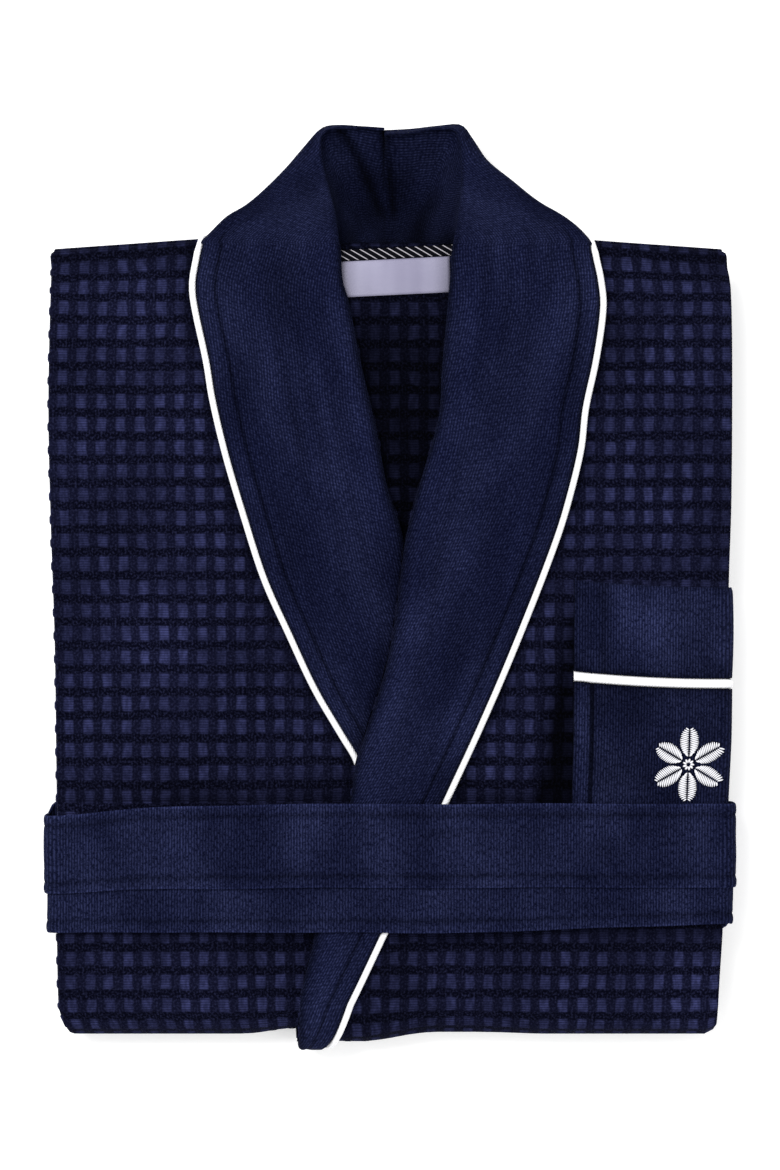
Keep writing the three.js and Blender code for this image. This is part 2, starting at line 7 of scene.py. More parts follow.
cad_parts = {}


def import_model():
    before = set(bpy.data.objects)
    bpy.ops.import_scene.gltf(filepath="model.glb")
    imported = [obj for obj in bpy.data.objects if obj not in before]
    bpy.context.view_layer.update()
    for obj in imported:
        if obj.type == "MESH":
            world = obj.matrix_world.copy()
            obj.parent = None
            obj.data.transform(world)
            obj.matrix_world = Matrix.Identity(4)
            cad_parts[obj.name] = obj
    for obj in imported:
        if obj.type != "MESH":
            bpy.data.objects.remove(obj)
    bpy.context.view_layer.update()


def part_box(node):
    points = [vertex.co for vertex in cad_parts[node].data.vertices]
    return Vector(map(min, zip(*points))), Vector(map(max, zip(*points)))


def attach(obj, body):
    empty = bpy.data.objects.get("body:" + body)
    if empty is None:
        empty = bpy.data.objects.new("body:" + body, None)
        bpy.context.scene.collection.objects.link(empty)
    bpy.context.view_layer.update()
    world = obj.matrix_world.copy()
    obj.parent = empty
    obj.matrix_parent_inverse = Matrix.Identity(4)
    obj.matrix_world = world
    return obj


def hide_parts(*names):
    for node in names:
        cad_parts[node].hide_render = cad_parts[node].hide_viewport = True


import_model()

# Sizes, in millimetres, in the robe's own coordinates: +X wearer's left, +Y collar, +Z up.
MM = 0.001
SHOULDER_Y = 225.0
ORIGIN = Vector((-0.75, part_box("back_panel")[1][1] / MM - SHOULDER_Y, 0.0))
HALF_WIDTH = 228.0
SHOULDER_DROP = 7.0
FOLD_END_Y = -302.0
HEM_Y = 200.0
SIDE_TURN = 110.0
CLOTH = 2.2
PITCH = 3.2
VELOUR = 2.0
TRIM_GAP = 0.85
PACK_HEIGHT = 41.2
PIPING_RADIUS = 2.1
SLOPE_FROM = 126.0  # the shoulder line falls beyond this far from the middle
UNDER_TUCK = 3.4  # the under half lies this far inside the upper one at the sides
BELT_OUTER_Y = -147.0
BELT_INNER_Y = -177.0
BELT_WIDTH = 56.0
BELT_CLOTH = 1.9
BELT_GAP = 0.4
WAFFLE_ACROSS = 13.0
WAFFLE_DOWN = 15.5

STACK = 3 * PITCH + CLOTH
SIDE_CENTRE = STACK / 2
SIDE_X = HALF_WIDTH - SIDE_CENTRE
SIDE_ARC = math.pi * SIDE_CENTRE
SEAM_W = SIDE_X + SIDE_ARC + SIDE_TURN - SIDE_CENTRE
FOLD_RADIUS = PACK_HEIGHT / 2
FOLD_Y = FOLD_END_Y + FOLD_RADIUS
FOLD_START = SHOULDER_Y - FOLD_Y
FOLD_END = FOLD_START + math.pi * FOLD_RADIUS
BODY_LENGTH = FOLD_END + HEM_Y - FOLD_Y
COLLAR_STACK = 2 * (VELOUR + TRIM_GAP)
OVERLAP = COLLAR_STACK + TRIM_GAP + CLOTH
CENTRE_SAG = 2 * PITCH
BELT_PINCH = 0.8
BELT_LIFT = 2 * (BELT_CLOTH + BELT_GAP) + 0.2
BELT_HALF = BELT_WIDTH / 2
CURL = (PITCH + CLOTH) / 2 * math.pi / 2  # length of each cloth's turn at the shoulder line
COLLAR_DROP = 8.0
COLLAR_TOP_Y = 306.0

HIP = {"inner": 128.0, "top": 30.0, "band": 55.0, "piping": 5.0, "length": 130.0, "wrap": 55.0}
CHEST = {"inner": 124.0, "top": 2.0, "band": 60.6, "piping": 6.8, "length": 118.0, "wrap": 50.0}
HIP_TOP = FOLD_END + HIP["top"] - FOLD_Y
HIP_START = HIP_TOP - HIP["band"] - HIP["piping"] - HIP["length"] - 0.8


def clamp(t, low=0.0, high=1.0):
    return min(high, max(low, t))


def ramp(a, b, x):
    t = clamp((x - a) / (b - a))
    return t * t * (3 - 2 * t)


def mix(a, b, t):
    return a + (b - a) * t


def steps(a, b, n):
    return [a + (b - a) * i / n for i in range(n + 1)]


def bell(x, width):
    """1 at x = 0, and next to nothing beyond two widths to either side."""
    return math.exp(-(x / width) ** 2)


def fade(x, width):
    """1 at x = 0, and less by the same share for each width further."""
    return math.exp(-x / width)


def grain(*place):
    """Smooth unevenness from about -1 to 1, which is always the same at the same place."""
    return noise.noise(Vector(place))


def smooth(knots):
    """A smooth curve of one or more values through (place, value...) knots, held at its ends."""
    count = len(knots)
    slopes = []
    for i in range(count):
        a, b = knots[max(0, i - 1)], knots[min(count - 1, i + 1)]
        slopes.append([(b[k] - a[k]) / (b[0] - a[0]) for k in range(1, len(a))])

    def at(s):
        i = 0
        while i < count - 2 and s > knots[i + 1][0]:
            i += 1
        a, b = knots[i], knots[i + 1]
        h = b[0] - a[0]
        t = clamp((s - a[0]) / h)
        u = 1 - t
        out = [a[k] * u * u * (1 + 2 * t) + b[k] * t * t * (3 - 2 * t)
               + h * t * u * (slopes[i][k - 1] * u - slopes[i + 1][k - 1] * t)
               for k in range(1, len(a))]
        return out[0] if len(out) == 1 else out
    return at


def along(points, hidden=()):
    """A value down the cloth, through (y, value) on the front and (distance, value) beneath."""
    knots = [(SHOULDER_Y - y, v) for y, v in points]
    knots += [(FOLD_END + extra, v) for extra, v in hidden]
    return smooth(knots)


roll_left = along([
    (306, 46), (271, 48), (227, 43), (195, 40), (141, 35), (111, 33), (64, 20), (28, 11),
    (-25, 4), (-60, -3), (-120, -22), (-149, -27), (-235, -50), (-282, -61),
], [(0, -66), (110, -69), (490, -69)])
pipe_left = along([
    (225, 138), (201, 141), (184, 142), (149, 137), (116, 130), (89, 127), (55, 119), (28, 111),
    (-13, 96), (-74, 71), (-149, 37), (-235, -4), (-282, -27),
], [(-48, -36.5), (-32, -45), (0, -54), (110, -54), (490, -54)])
roll_right = along([
    (306, -45), (280, -44), (259, -38), (240, -33), (202, -31), (189, -27), (149, -19),
    (101, -8), (64, -1), (33, 9), (0, 14), (-60, 13), (-120, 8), (-149, 3), (-235, -14),
    (-282, -26),
], [(0, -30), (110, -31), (490, -31)])
pipe_right = along([
    (225, -127), (214, -129), (201, -131), (187, -130), (147, -121), (123, -117), (84, -108),
    (42, -96), (1, -83), (-35, -67), (-71, -50), (-103, -31), (-118, -22), (-149, -13),
    (-235, -38), (-282, -49),
], [(0, -53), (110, -57), (490, -57)])
edge_right = along([
    (219, 225.5), (201, 228), (150, 229.2), (55, 228.7), (0, 227), (-100, 226), (-150, 224),
    (-229, 223), (-263, 221), (-300, 219)])
edge_left = along([
    (219, 226.5), (123, 228.6), (38, 227), (-38, 224.5), (-153, 223), (-282, 222), (-300, 217)])


# The folds. Cloth is laid out flat by w (across), s (down from the shoulder) and d (depth in
# the stack of layers, 0 on the outside), and these turn it into the folded robe.
def side_fold(w, d):
    past = abs(w) - SIDE_X
    side = 1 if w > 0 else -1
    if past <= 0:
        return w, d
    if past >= SIDE_ARC:
        return side * (SIDE_X - past + SIDE_ARC), STACK - d
    turn = past / SIDE_CENTRE
    reach = SIDE_CENTRE - d
    return side * (SIDE_X + reach * math.sin(turn)), SIDE_CENTRE - reach * math.cos(turn)


def shoulder_curl(s, d):
    """Past the shoulder line the front and the back curl towards each other to meet."""
    middle = (PITCH + CLOTH) / 2
    turn = clamp(-s / middle, 0, math.pi / 2)
    reach = abs(middle - d)
    face = 1 if d < middle else -1
    return -reach * math.sin(turn), middle - face * reach * math.cos(turn)


def length_fold(s, d, bulge=0.0):
    if s <= FOLD_START:
        return SHOULDER_Y - s, PACK_HEIGHT - d
    if s >= FOLD_END:
        return FOLD_Y + s - FOLD_END, d
    turn = (s - FOLD_START) / FOLD_RADIUS
    reach = FOLD_RADIUS - d
    return FOLD_Y - (reach + bulge) * math.sin(turn), FOLD_RADIUS + reach * math.cos(turn)


def creases(x, y):
    """Soft unevenness of the upper half, the same for each layer of it."""
    broad = grain(x / 95, y / 120, 1.3) * 2.0
    fine = grain(x / 38, y / 55, 7.1) * 0.9
    return broad + fine - 2.8 * valley(x, y)


def hollow(x, y):
    """Where painted shade darkens the hollow between that crease and the pocket's edge, wider towards
    the belt.
    """
    inner = mix(123, 99, clamp(-y / 147))
    down = (1 - ramp(-32, -4, y)) * ramp(-185, -150, y)
    return down * ramp(inner - 2, inner + 6, x) * (1 - ramp(124, 134, x))


def valley(x, y):
    """A crease in the cloth beside the chest pocket, deepest at the belt, in which the front panels
    are also painted darker as shade.
    """
    middle = mix(117, 106, clamp(-y / 147))
    down = (1 - ramp(-70, 20, y)) * ramp(-215, -160, y)
    return down * bell(x - middle, 7.5)


def settle(x, y, z):
    """The last step: creased, pressed by the belt, drawn to its outline and placed in metres."""
    edge = edge_right if x > 0 else edge_left
    slope = clamp((abs(x) - SLOPE_FROM) / (HALF_WIDTH - SLOPE_FROM))
    pinch = 1 - ramp(BELT_OUTER_Y + 3, BELT_OUTER_Y + 50, y)
    high = ramp(PACK_HEIGHT * 0.5, PACK_HEIGHT * 0.95, z) * (1 - 0.6 * pinch)
    z += high * creases(x, y)
    z += pinch * (BELT_LIFT - (1 - BELT_PINCH) * z)
    tucked = UNDER_TUCK * (1 - ramp(10, 30, z)) * abs(x) / HALF_WIDTH
    x = x * (edge(SHOULDER_Y - y) - tucked) / HALF_WIDTH
    y = y - SHOULDER_DROP * slope * ramp(SHOULDER_Y - 40, SHOULDER_Y, y)
    return (Vector((x, y, z)) + ORIGIN) * MM


def below(s):
    return ramp(FOLD_START + 0.3 * (FOLD_END - FOLD_START), FOLD_END, s)


def centre(x):
    return 1 - ramp(55, HALF_WIDTH - SIDE_TURN - 6, abs(x))


def climb(x, s):
    return (1 - ramp(roll_right(s) + 4, roll_right(s) + 64, x)) * ramp(105, 180, s)


def pocket_push(x, s):
    across = ramp(HIP["inner"] - 28, HIP["inner"] - 2, abs(x))
    down = ramp(HIP_START - 30, HIP_START - 4, s) * (1 - ramp(HIP_TOP + 4, HIP_TOP + 30, s))
    return (VELOUR + TRIM_GAP) * across * down


def collar_drop(s):
    return COLLAR_DROP * clamp(-s / (COLLAR_TOP_Y - SHOULDER_Y)) ** 1.3


def left_shift(x, s):
    m = below(s)
    band = 1 - ramp(pipe_left(s) + 4, pipe_left(s) + 50, x)
    return ((1 - m) * (CENTRE_SAG * centre(x) - OVERLAP * climb(x, s)) + m * COLLAR_STACK * band
            + pocket_push(x, s) + collar_drop(s))


def right_shift(x, s):
    m = below(s)
    under = ramp(roll_left(s) - 36, roll_left(s) - 4, x)
    return ((1 - m) * CENTRE_SAG * centre(x) + m * (OVERLAP + COLLAR_STACK) * under
            + pocket_push(x, s) + collar_drop(s))


def back_shift(x, s):
    m = below(s)
    room = (ramp(roll_left(s) - 47, roll_left(s) - 15, x)
            * (1 - ramp(roll_right(s) + 6, roll_right(s) + 70, x)))
    return ((1 - m) * CENTRE_SAG * centre(x) + m * (OVERLAP + COLLAR_STACK - 0.6) * room
            + pocket_push(x, s))


# Each side's roll line, piping line and shift, by +1 for the wearer's left and -1 for the right.
SIDES = {1: (roll_left, pipe_left, left_shift), -1: (roll_right, pipe_right, right_shift)}


def down_lines(first, last, upper, bend, lower):
    """Lines across a cloth from last up to first, with so many steps above, in and below the fold."""
    return [*reversed([*steps(first, FOLD_START, upper), *steps(FOLD_START, FOLD_END, bend)[1:],
                       *steps(FOLD_END, last, lower)[1:]])]


def robe_point(w, s, d, shift):
    x, depth = side_fold(w, d)
    y, z = length_fold(s, depth + shift(x, s), 0.6 * CENTRE_SAG * centre(x))
    return settle(x, y, z)


# Making a piece of cloth: a grid, moved point by point, with its flat cut kept as its UV map.
def plain(u, v):
    return 1.0


def cloth_grid(us, vs, place, flat, tone_and_painted_light=plain):
    """A grid on the lines us and vs: place(u, v) is where a point lies, flat(u, v) its cut and
    the third function how light its colour is drawn there, a random tone with painted shade and
    painted highlights."""
    bm = bmesh.new()
    bmesh.ops.create_grid(bm, x_segments=len(us) - 1, y_segments=len(vs) - 1, size=1)
    uv = bm.loops.layers.uv.new("cut")
    # a value on each point that scales the colour: painted shade and painted highlights with a random
    # tone
    lie = bm.verts.layers.float.new("tone_and_painted_light")
    cut = {}
    for vert in bm.verts:
        i = round((vert.co.x + 1) / 2 * (len(us) - 1))
        j = round((vert.co.y + 1) / 2 * (len(vs) - 1))
        cut[vert.index] = (i, j)
    bm.verts.index_update()
    for face in bm.faces:
        for loop in face.loops:
            i, j = cut[loop.vert.index]
            a, b = flat(us[i], vs[j])
            loop[uv].uv = (a * MM, b * MM)
    for vert in bm.verts:
        i, j = cut[vert.index]
        vert.co = place(us[i], vs[j])
        vert[lie] = tone_and_painted_light(us[i], vs[j])
    bmesh.ops.remove_doubles(bm, verts=bm.verts, dist=2e-5)
    bmesh.ops.dissolve_degenerate(bm, edges=bm.edges, dist=1e-6)
    return bm


def make_piece(name, bm, material, thickness=0.0):
    mesh = bpy.data.meshes.new(name)
    bm.to_mesh(mesh)
    bm.free()
    mesh.materials.append(material)
    mesh.shade_smooth()
    piece = bpy.data.objects.new(name, mesh)
    bpy.context.scene.collection.objects.link(piece)
    if thickness:
        solid = piece.modifiers.new("thickness", "SOLIDIFY")
        solid.thickness = thickness * MM
        solid.offset = -1.0
        solid.use_even_offset = False
        solid.use_quality_normals = True
    return piece


# Thickness in millimetres at which each cloth is drawn
WALL = {"waffle": 1.3, "back": 1.9, "collar": 1.2, "under_collar": 1.0, "tape": 1.0, "label": 0.5,
        "pocket": 1.4, "belt_loop": 1.2}


def sew(name, bm, material, thickness=0.0, cut=None, body="robe"):
    """Make a piece in place of its solid. Cloth has a cut, the width and length in millimetres that
    it was cut from; each is raised to 10 where it is smaller, and the sizes are not used further."""
    piece = make_piece(name, bm, material, thickness)
    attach(piece, body)
    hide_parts(name)
    if cut:
        width, length = (max(size, 10.0) for size in cut)


# Materials. Weaves follow each cloth's own cut, in metres.
class Weave:
    """A material's node tree, with short names for the nodes that the weaves are made of."""

    def __init__(self, name):
        self.material = bpy.data.materials.new(name)
        self.material.use_nodes = True
        self.tree = self.material.node_tree
        self.shader = self.tree.nodes["Principled BSDF"]

    def fill(self, node, inputs):
        """Set each input, by name or number, to a value or join it to another node's output."""
        for key, value in inputs.items():
            if isinstance(value, bpy.types.NodeSocket):
                self.tree.links.new(value, node.inputs[key])
            else:
                node.inputs[key].default_value = value

    def node(self, kind, inputs=None, **settings):
        made = self.tree.nodes.new(kind)
        for key, value in settings.items():
            setattr(made, key, value)
        self.fill(made, inputs or {})
        return made

    def cut(self):
        return self.node("ShaderNodeUVMap", uv_map="cut").outputs["UV"]

    def axes(self, coords=None):
        split = self.node("ShaderNodeSeparateXYZ", {0: coords or self.cut()})
        return split.outputs["X"], split.outputs["Y"]

    def tone_and_painted_light(self, colour):
        """The colour scaled by each point's stored value, which paints shade and highlights into it
        along with a random tone.
        """
        lie = self.node("ShaderNodeAttribute", attribute_name="tone_and_painted_light").outputs["Fac"]
        return self.node("ShaderNodeVectorMath", {0: colour, "Scale": lie},
                         operation="SCALE").outputs[0]

    def drift(self, amount, scale):
        """The cut's axes pushed about a little, as woven cloth never lies quite square."""
        waver = self.node("ShaderNodeTexNoise", {"Scale": scale, "Vector": self.cut()})
        push = self.node("ShaderNodeVectorMath",
                         {0: waver.outputs["Color"], 1: (amount, amount, 0),
                          2: (-amount / 2, -amount / 2, 0)}, operation="MULTIPLY_ADD")
        made = self.node("ShaderNodeVectorMath", {0: self.cut(), 1: push.outputs[0]},
                         operation="ADD")
        return self.axes(made.outputs[0])

    def calc(self, operation, *values):
        return self.node("ShaderNodeMath", dict(enumerate(values)), operation=operation).outputs[0]

    def remap(self, value, low, high, to_low=0.0, to_high=1.0):
        return self.node("ShaderNodeMapRange",
                         {"Value": value, "From Min": low, "From Max": high, "To Min": to_low,
                          "To Max": to_high}, interpolation_type="SMOOTHSTEP").outputs["Result"]

    def speckle(self, scale, detail=2.0, stretch=(1, 1, 1), coords=None):
        placed = self.node("ShaderNodeMapping", {"Scale": stretch, "Vector": coords or self.cut()})
        return self.node("ShaderNodeTexNoise", {"Scale": scale, "Detail": detail,
                                                "Vector": placed.outputs[0]}).outputs["Fac"]

    def ribs(self, pitch, angle=0.0, wobble=0.0):
        """Threads side by side at a pitch in metres, as a wave from 0 to 1."""
        placed = self.node("ShaderNodeMapping", {"Rotation": (0, 0, angle), "Vector": self.cut()})
        wave = {"Scale": math.pi * 2 / (20 * pitch), "Distortion": wobble, "Detail": 2.0,
                "Detail Scale": 1.5, "Vector": placed.outputs[0]}
        return self.node("ShaderNodeTexWave", wave, wave_type="BANDS", bands_direction="X",
                         wave_profile="SIN").outputs["Fac"]

    def blend(self, factor, a, b):
        a, b = ((*value, 1.0) if isinstance(value, tuple) else value for value in (a, b))
        return self.node("ShaderNodeMix", {"Factor": factor, "A": a, "B": b},
                         data_type="RGBA").outputs["Result"]

    def finish(self, colour, height, depth, roughness=0.9, sheen=0.0, tint=(1, 1, 1),
               specular=0.3, anisotropic=0.0):
        """The finished material, with a relief of the given depth in metres."""
        bump = self.node("ShaderNodeBump", {"Strength": 1.0, "Distance": depth, "Height": height})
        self.fill(self.shader, {
            "Base Color": colour, "Roughness": roughness, "Sheen Weight": sheen,
            "Sheen Roughness": 0.4, "Sheen Tint": (*tint, 1.0), "Specular IOR Level": specular,
            "Anisotropic": anisotropic, "Normal": bump.outputs["Normal"]})
        return self.material


# Where the middle of each flat window lies in a repeat of the weave, as shares of the repeat.
WINDOW_AT = (0.285, 0.30)


def waffle_cloth():
    """Flat woven windows of pale-flecked navy between ridges of dark velvety pile."""
    weave = Weave("waffle_cloth")
    x, y = weave.drift(0.0042, 70.0)
    px, py = WAFFLE_ACROSS * MM, WAFFLE_DOWN * MM
    in_x = weave.calc("PINGPONG", weave.calc("ADD", x, 100 * px - WINDOW_AT[0] * px), px / 2)
    in_y = weave.calc("PINGPONG", weave.calc("ADD", y, 100 * py - WINDOW_AT[1] * py), py / 2)
    window_x = weave.remap(in_x, 0.0022, 0.0040, 1.0, 0.0)
    window_y = weave.remap(in_y, 0.0036, 0.0056, 1.0, 0.0)
    window = weave.calc("MULTIPLY", window_x, window_y)
    rib = weave.ribs(0.0017, angle=math.pi / 2, wobble=0.8)
    warp = weave.ribs(0.0020, wobble=0.8)
    uneven = weave.remap(weave.speckle(21.0, 4.0), 0.34, 0.66, 0.35, 1.0)
    patch = weave.remap(weave.speckle(330.0, stretch=(1, 0.5, 1)), 0.35, 0.68)
    light = weave.calc("MULTIPLY", weave.calc("MULTIPLY", window, uneven),
                       weave.calc("MULTIPLY_ADD", rib, 0.6, 0.4))
    fuzz = weave.remap(weave.speckle(620.0, 2.0), 0.42, 0.72)
    between = weave.blend(weave.calc("MULTIPLY", window_y, 0.8), (0.0012, 0.0013, 0.0050),
                          (0.0036, 0.0040, 0.0135))
    pile = weave.blend(weave.calc("MULTIPLY", fuzz, weave.calc("MULTIPLY_ADD", warp, 0.5, 0.5)),
                       between, (0.0120, 0.0136, 0.0370))
    flat = weave.blend(patch, (0.0165, 0.0188, 0.0560), (0.0325, 0.0368, 0.1060))
    # the colour is scaled by each point's painted shade and painted highlights with a random tone
    colour = weave.tone_and_painted_light(weave.blend(light, pile, flat))
    height = weave.calc("ADD", weave.calc("MULTIPLY", weave.calc("MULTIPLY", window, rib), 0.35),
                        weave.calc("MULTIPLY", weave.speckle(900.0, 3.0),
                                   weave.calc("MULTIPLY_ADD", window, -0.7, 1.0)))
    return weave.finish(colour, height, 0.0010, roughness=1.0, sheen=0.02,
                        tint=(0.4, 0.45, 1.0), specular=0.02)


def velour(name, angle, wobble=1.2, lift=1.0, loopy=0.0):
    """Short-pile navy cloth whose fine ribs catch the light, mottled where the pile is brushed."""
    weave = Weave(name)
    rib = weave.ribs(0.0019, angle=angle, wobble=wobble)
    fleck = weave.remap(weave.speckle(760.0, 2.0), 0.40, 0.68)
    loops = weave.remap(weave.speckle(500.0, 1.0, stretch=(1.6, 0.7, 1)), 0.38, 0.64)
    brushed = weave.remap(weave.speckle(19.0, 4.0, stretch=(1.0, 0.55, 1)), 0.34, 0.70)
    shade = weave.blend(brushed, tuple(v * lift for v in (0.0014, 0.0019, 0.0092)),
                        tuple(v * lift for v in (0.0034, 0.0046, 0.0170)))
    lit = weave.blend(brushed, tuple(v * lift for v in (0.0120, 0.0152, 0.0460)),
                      tuple(v * lift for v in (0.0255, 0.0310, 0.0850)))
    threads = weave.calc("MULTIPLY", weave.calc("MULTIPLY_ADD", rib, 0.85, 0.15),
                         weave.calc("MAXIMUM", fleck, loops))
    if loopy:  # each rib broken into a row of loops
        across = weave.ribs(0.0024, angle=angle + 1.35, wobble=3.0)
        threads = weave.calc("MULTIPLY", threads,
                             weave.calc("MULTIPLY_ADD", across, loopy, 1.0 - loopy))
    # the colour is scaled by each point's painted shade and painted highlights with a random tone
    colour = weave.tone_and_painted_light(weave.blend(threads, shade, lit))
    height = weave.calc("ADD", weave.calc("MULTIPLY", rib, 0.5),
                        weave.calc("MULTIPLY", weave.speckle(900.0, 3.0), 0.6))
    return weave.finish(colour, height, 0.0009, roughness=1.0, sheen=0.02,
                        tint=(0.4, 0.48, 1.0), specular=0.02)


def piping_cotton():
    """White bias binding over a cord, with a faint slanting twist."""
    weave = Weave("white_piping")
    twist = weave.ribs(0.0016, angle=0.7, wobble=0.3)
    colour = weave.blend(weave.speckle(300.0), (0.80, 0.80, 0.83), (0.93, 0.93, 0.95))
    return weave.finish(colour, twist, 0.00012, roughness=0.65, sheen=0.05, specular=0.3)


def satin():
    """Blank woven label satin with fine selvedge lines."""
    weave = Weave("satin_label")
    thread = weave.ribs(0.0005, angle=math.pi / 2)
    # soft upright streaks of painted sheen across the label, and the colour scaled by each point's
    # painted shade
    soft = weave.remap(weave.speckle(30.0, 2.0, stretch=(1, 0.1, 1)), 0.3, 0.7)
    colour = weave.tone_and_painted_light(weave.blend(soft, (0.19, 0.18, 0.27), (0.33, 0.32, 0.44)))
    return weave.finish(colour, thread, 0.00005, roughness=0.38, specular=0.4, anisotropic=0.5)


def striped_tape():
    """Black twill tape crossed by thin slanting pale stripes."""
    weave = Weave("striped_tape")
    x, y = weave.axes()
    slant = weave.calc("MULTIPLY_ADD", y, 1.6, weave.calc("ADD", x, 1.0))
    stripe = weave.remap(weave.calc("PINGPONG", slant, 0.0031), 0.0002, 0.0008, 1.0, 0.0)
    colour = weave.blend(stripe, (0.002, 0.002, 0.004), (0.46, 0.44, 0.48))
    return weave.finish(colour, weave.ribs(0.0008, angle=0.8), 0.0002, roughness=0.8,
                        specular=0.05)


def lining_cotton():
    """Plain dark cotton twill."""
    weave = Weave("lining")
    colour = weave.blend(weave.speckle(400.0), (0.005, 0.006, 0.02), (0.012, 0.014, 0.045))
    return weave.finish(colour, weave.ribs(0.0009, angle=0.8), 0.0002, roughness=0.9)


def embroidery():
    """Glossy white rayon thread."""
    weave = Weave("white_thread")
    place = weave.node("ShaderNodeTexCoord").outputs["Object"]
    fibre = weave.speckle(900.0, 2.0, coords=place)
    colour = weave.blend(fibre, (0.62, 0.62, 0.67), (0.93, 0.93, 0.96))
    return weave.finish(colour, fibre, 0.0001, roughness=0.4, specular=0.4, anisotropic=0.4)


WAFFLE = waffle_cloth()
COLLAR_LOOK = {"wobble": 1.6, "lift": 1.12, "loopy": 0.6}
COLLAR_VELOUR = velour("collar_velour", 0.10, **COLLAR_LOOK)
COLLAR_VELOUR_MIRROR = velour("collar_velour_mirror", -0.10, **COLLAR_LOOK)
BELT_VELOUR = velour("belt_velour", 0.0, wobble=0.7)
POCKET_VELOUR = velour("pocket_velour", 0.0, wobble=0.5)
PIPING = piping_cotton()
SATIN = satin()
TAPE = striped_tape()
LINING = lining_cotton()
THREAD = embroidery()


# Body panels in waffle cloth
ACROSS_CUTS = ((0.02, 0.0), (0.55, 0.0), (0.66, 1.0), (0.91, 1.0))
DOWN_CUTS = ((0.02, 0.0), (0.58, 0.0), (0.69, 1.0), (0.91, 1.0))


def waffle_lines(low, high, pitch, cuts):
    """Grid lines at the edges of the windows and the tops of the ridges, with the ridge height."""
    lines = []
    for k in range(math.floor(low / pitch) - 1, math.ceil(high / pitch) + 1):
        for share, ridge in cuts:
            at = (k + share) * pitch
            if low + 1 < at < high - 1:
                lines.append((at, ridge))
    return [(low, 1.0), *lines, (high, 1.0)]


def waffle_panel(name, low, high, inner, depth, shift, side):
    """A panel from its seam to its inner edge: inner(s) is where the edge is at distance s."""
    across = waffle_lines(low, high, WAFFLE_ACROSS, ACROSS_CUTS)
    down = waffle_lines(0, BODY_LENGTH, WAFFLE_DOWN, DOWN_CUTS)
    down = [(-CURL, 1.0), (-CURL * 0.5, 1.0), *down]
    down.reverse()
    trim = (lambda w, s: max(w, inner(s))) if side > 0 else (lambda w, s: min(w, inner(s)))
    pipe = SIDES[side][1]

    def place(u, v):
        (w, ridge_w), (s, ridge_s) = u, v
        w = trim(w, s)
        relief = max(ridge_w, ridge_s)
        d = depth - 0.25 * (1 - below(s)) + 1.0 * (1 - relief)
        if s >= 0:
            return robe_point(w, s, d, shift)
        rise, curled = shoulder_curl(s, d)
        return robe_point(w, rise, curled, shift)

    def flat(u, v):
        return trim(u[0], v[0]), -v[0]

    # painted light on the front panels: painted shade beside the piping, above and below the belt,
    # along the shoulder line, in the crease and in the hollow by the pocket, with a random tone
    def tone_and_painted_light(u, v):
        x, _ = side_fold(u[0], 0)
        s = v[0]
        y = SHOULDER_Y - s
        beyond = abs(x) - abs(pipe(max(0.0, s))) if abs(u[0]) < SIDE_X else 99
        beside = 0.55 * bell(max(0.0, beyond), 9)
        if y < BELT_OUTER_Y:
            beside *= 0.4
        shade_above_belt = 0.6 * fade(abs(y - BELT_OUTER_Y), 12) if y > BELT_OUTER_Y else 0.0
        under = 0.45 * fade(abs(y - BELT_INNER_Y + BELT_WIDTH), 9)
        top = 0.35 * bell(max(0.0, s), 14)
        tone = 1.0 + 0.35 * grain(x / 60, y / 75, 4.0)
        shade = (1 - beside) * (1 - shade_above_belt) * (1 - under) * (1 - top)
        return max(0.12, tone * shade * (1 - 0.5 * valley(x, y))
                   * (1 - 0.82 * hollow(x, y)))

    bm = cloth_grid(across, down, place, flat, tone_and_painted_light)
    sew(name, bm, WAFFLE, WALL["waffle"], (abs(high - low), BODY_LENGTH))


def neck_trim(s):
    return 0.4 + 12 * (1 - ramp(15, 60, s))


waffle_panel("left_front_panel", -72, SEAM_W, lambda s: roll_left(s) + neck_trim(s), 0.0,
             left_shift, 1)
waffle_panel("right_front_panel", -SEAM_W, 20, lambda s: roll_right(s) - neck_trim(s), 0.0,
             right_shift, -1)


def back_panel():
    across = steps(-SEAM_W, SEAM_W, 104)
    down = [*reversed([-CURL, -CURL / 2, *steps(0, BODY_LENGTH, 140)])]

    def place(w, s):
        d = PITCH + 0.1
        if s >= 0:
            return robe_point(w, s, d, back_shift)
        rise, curled = shoulder_curl(s, PITCH + CLOTH)
        return robe_point(w, rise, curled, back_shift)

    # painted shade on the inside of the back panel seen through the neck, darker further from the
    # shoulder line
    def tone_and_painted_light(w, s):
        return mix(0.45, 0.2, ramp(25, 95, s)) if s < FOLD_START else 1.0

    bm = cloth_grid(across, down, place, lambda w, s: (w, -s), tone_and_painted_light)
    sew("back_panel", bm, WAFFLE, WALL["back"], (2 * SEAM_W, BODY_LENGTH))


back_panel()


# Sleeves and cuffs, flattened tubes inside the fold
SLEEVE = {"inner": 6.0, "outer": 218.0, "top": 193.0, "end": -212.0, "z": 23.5, "half": 1.6}
CUFF_LENGTH = 58.0
CUFF_PIPING = 4.0


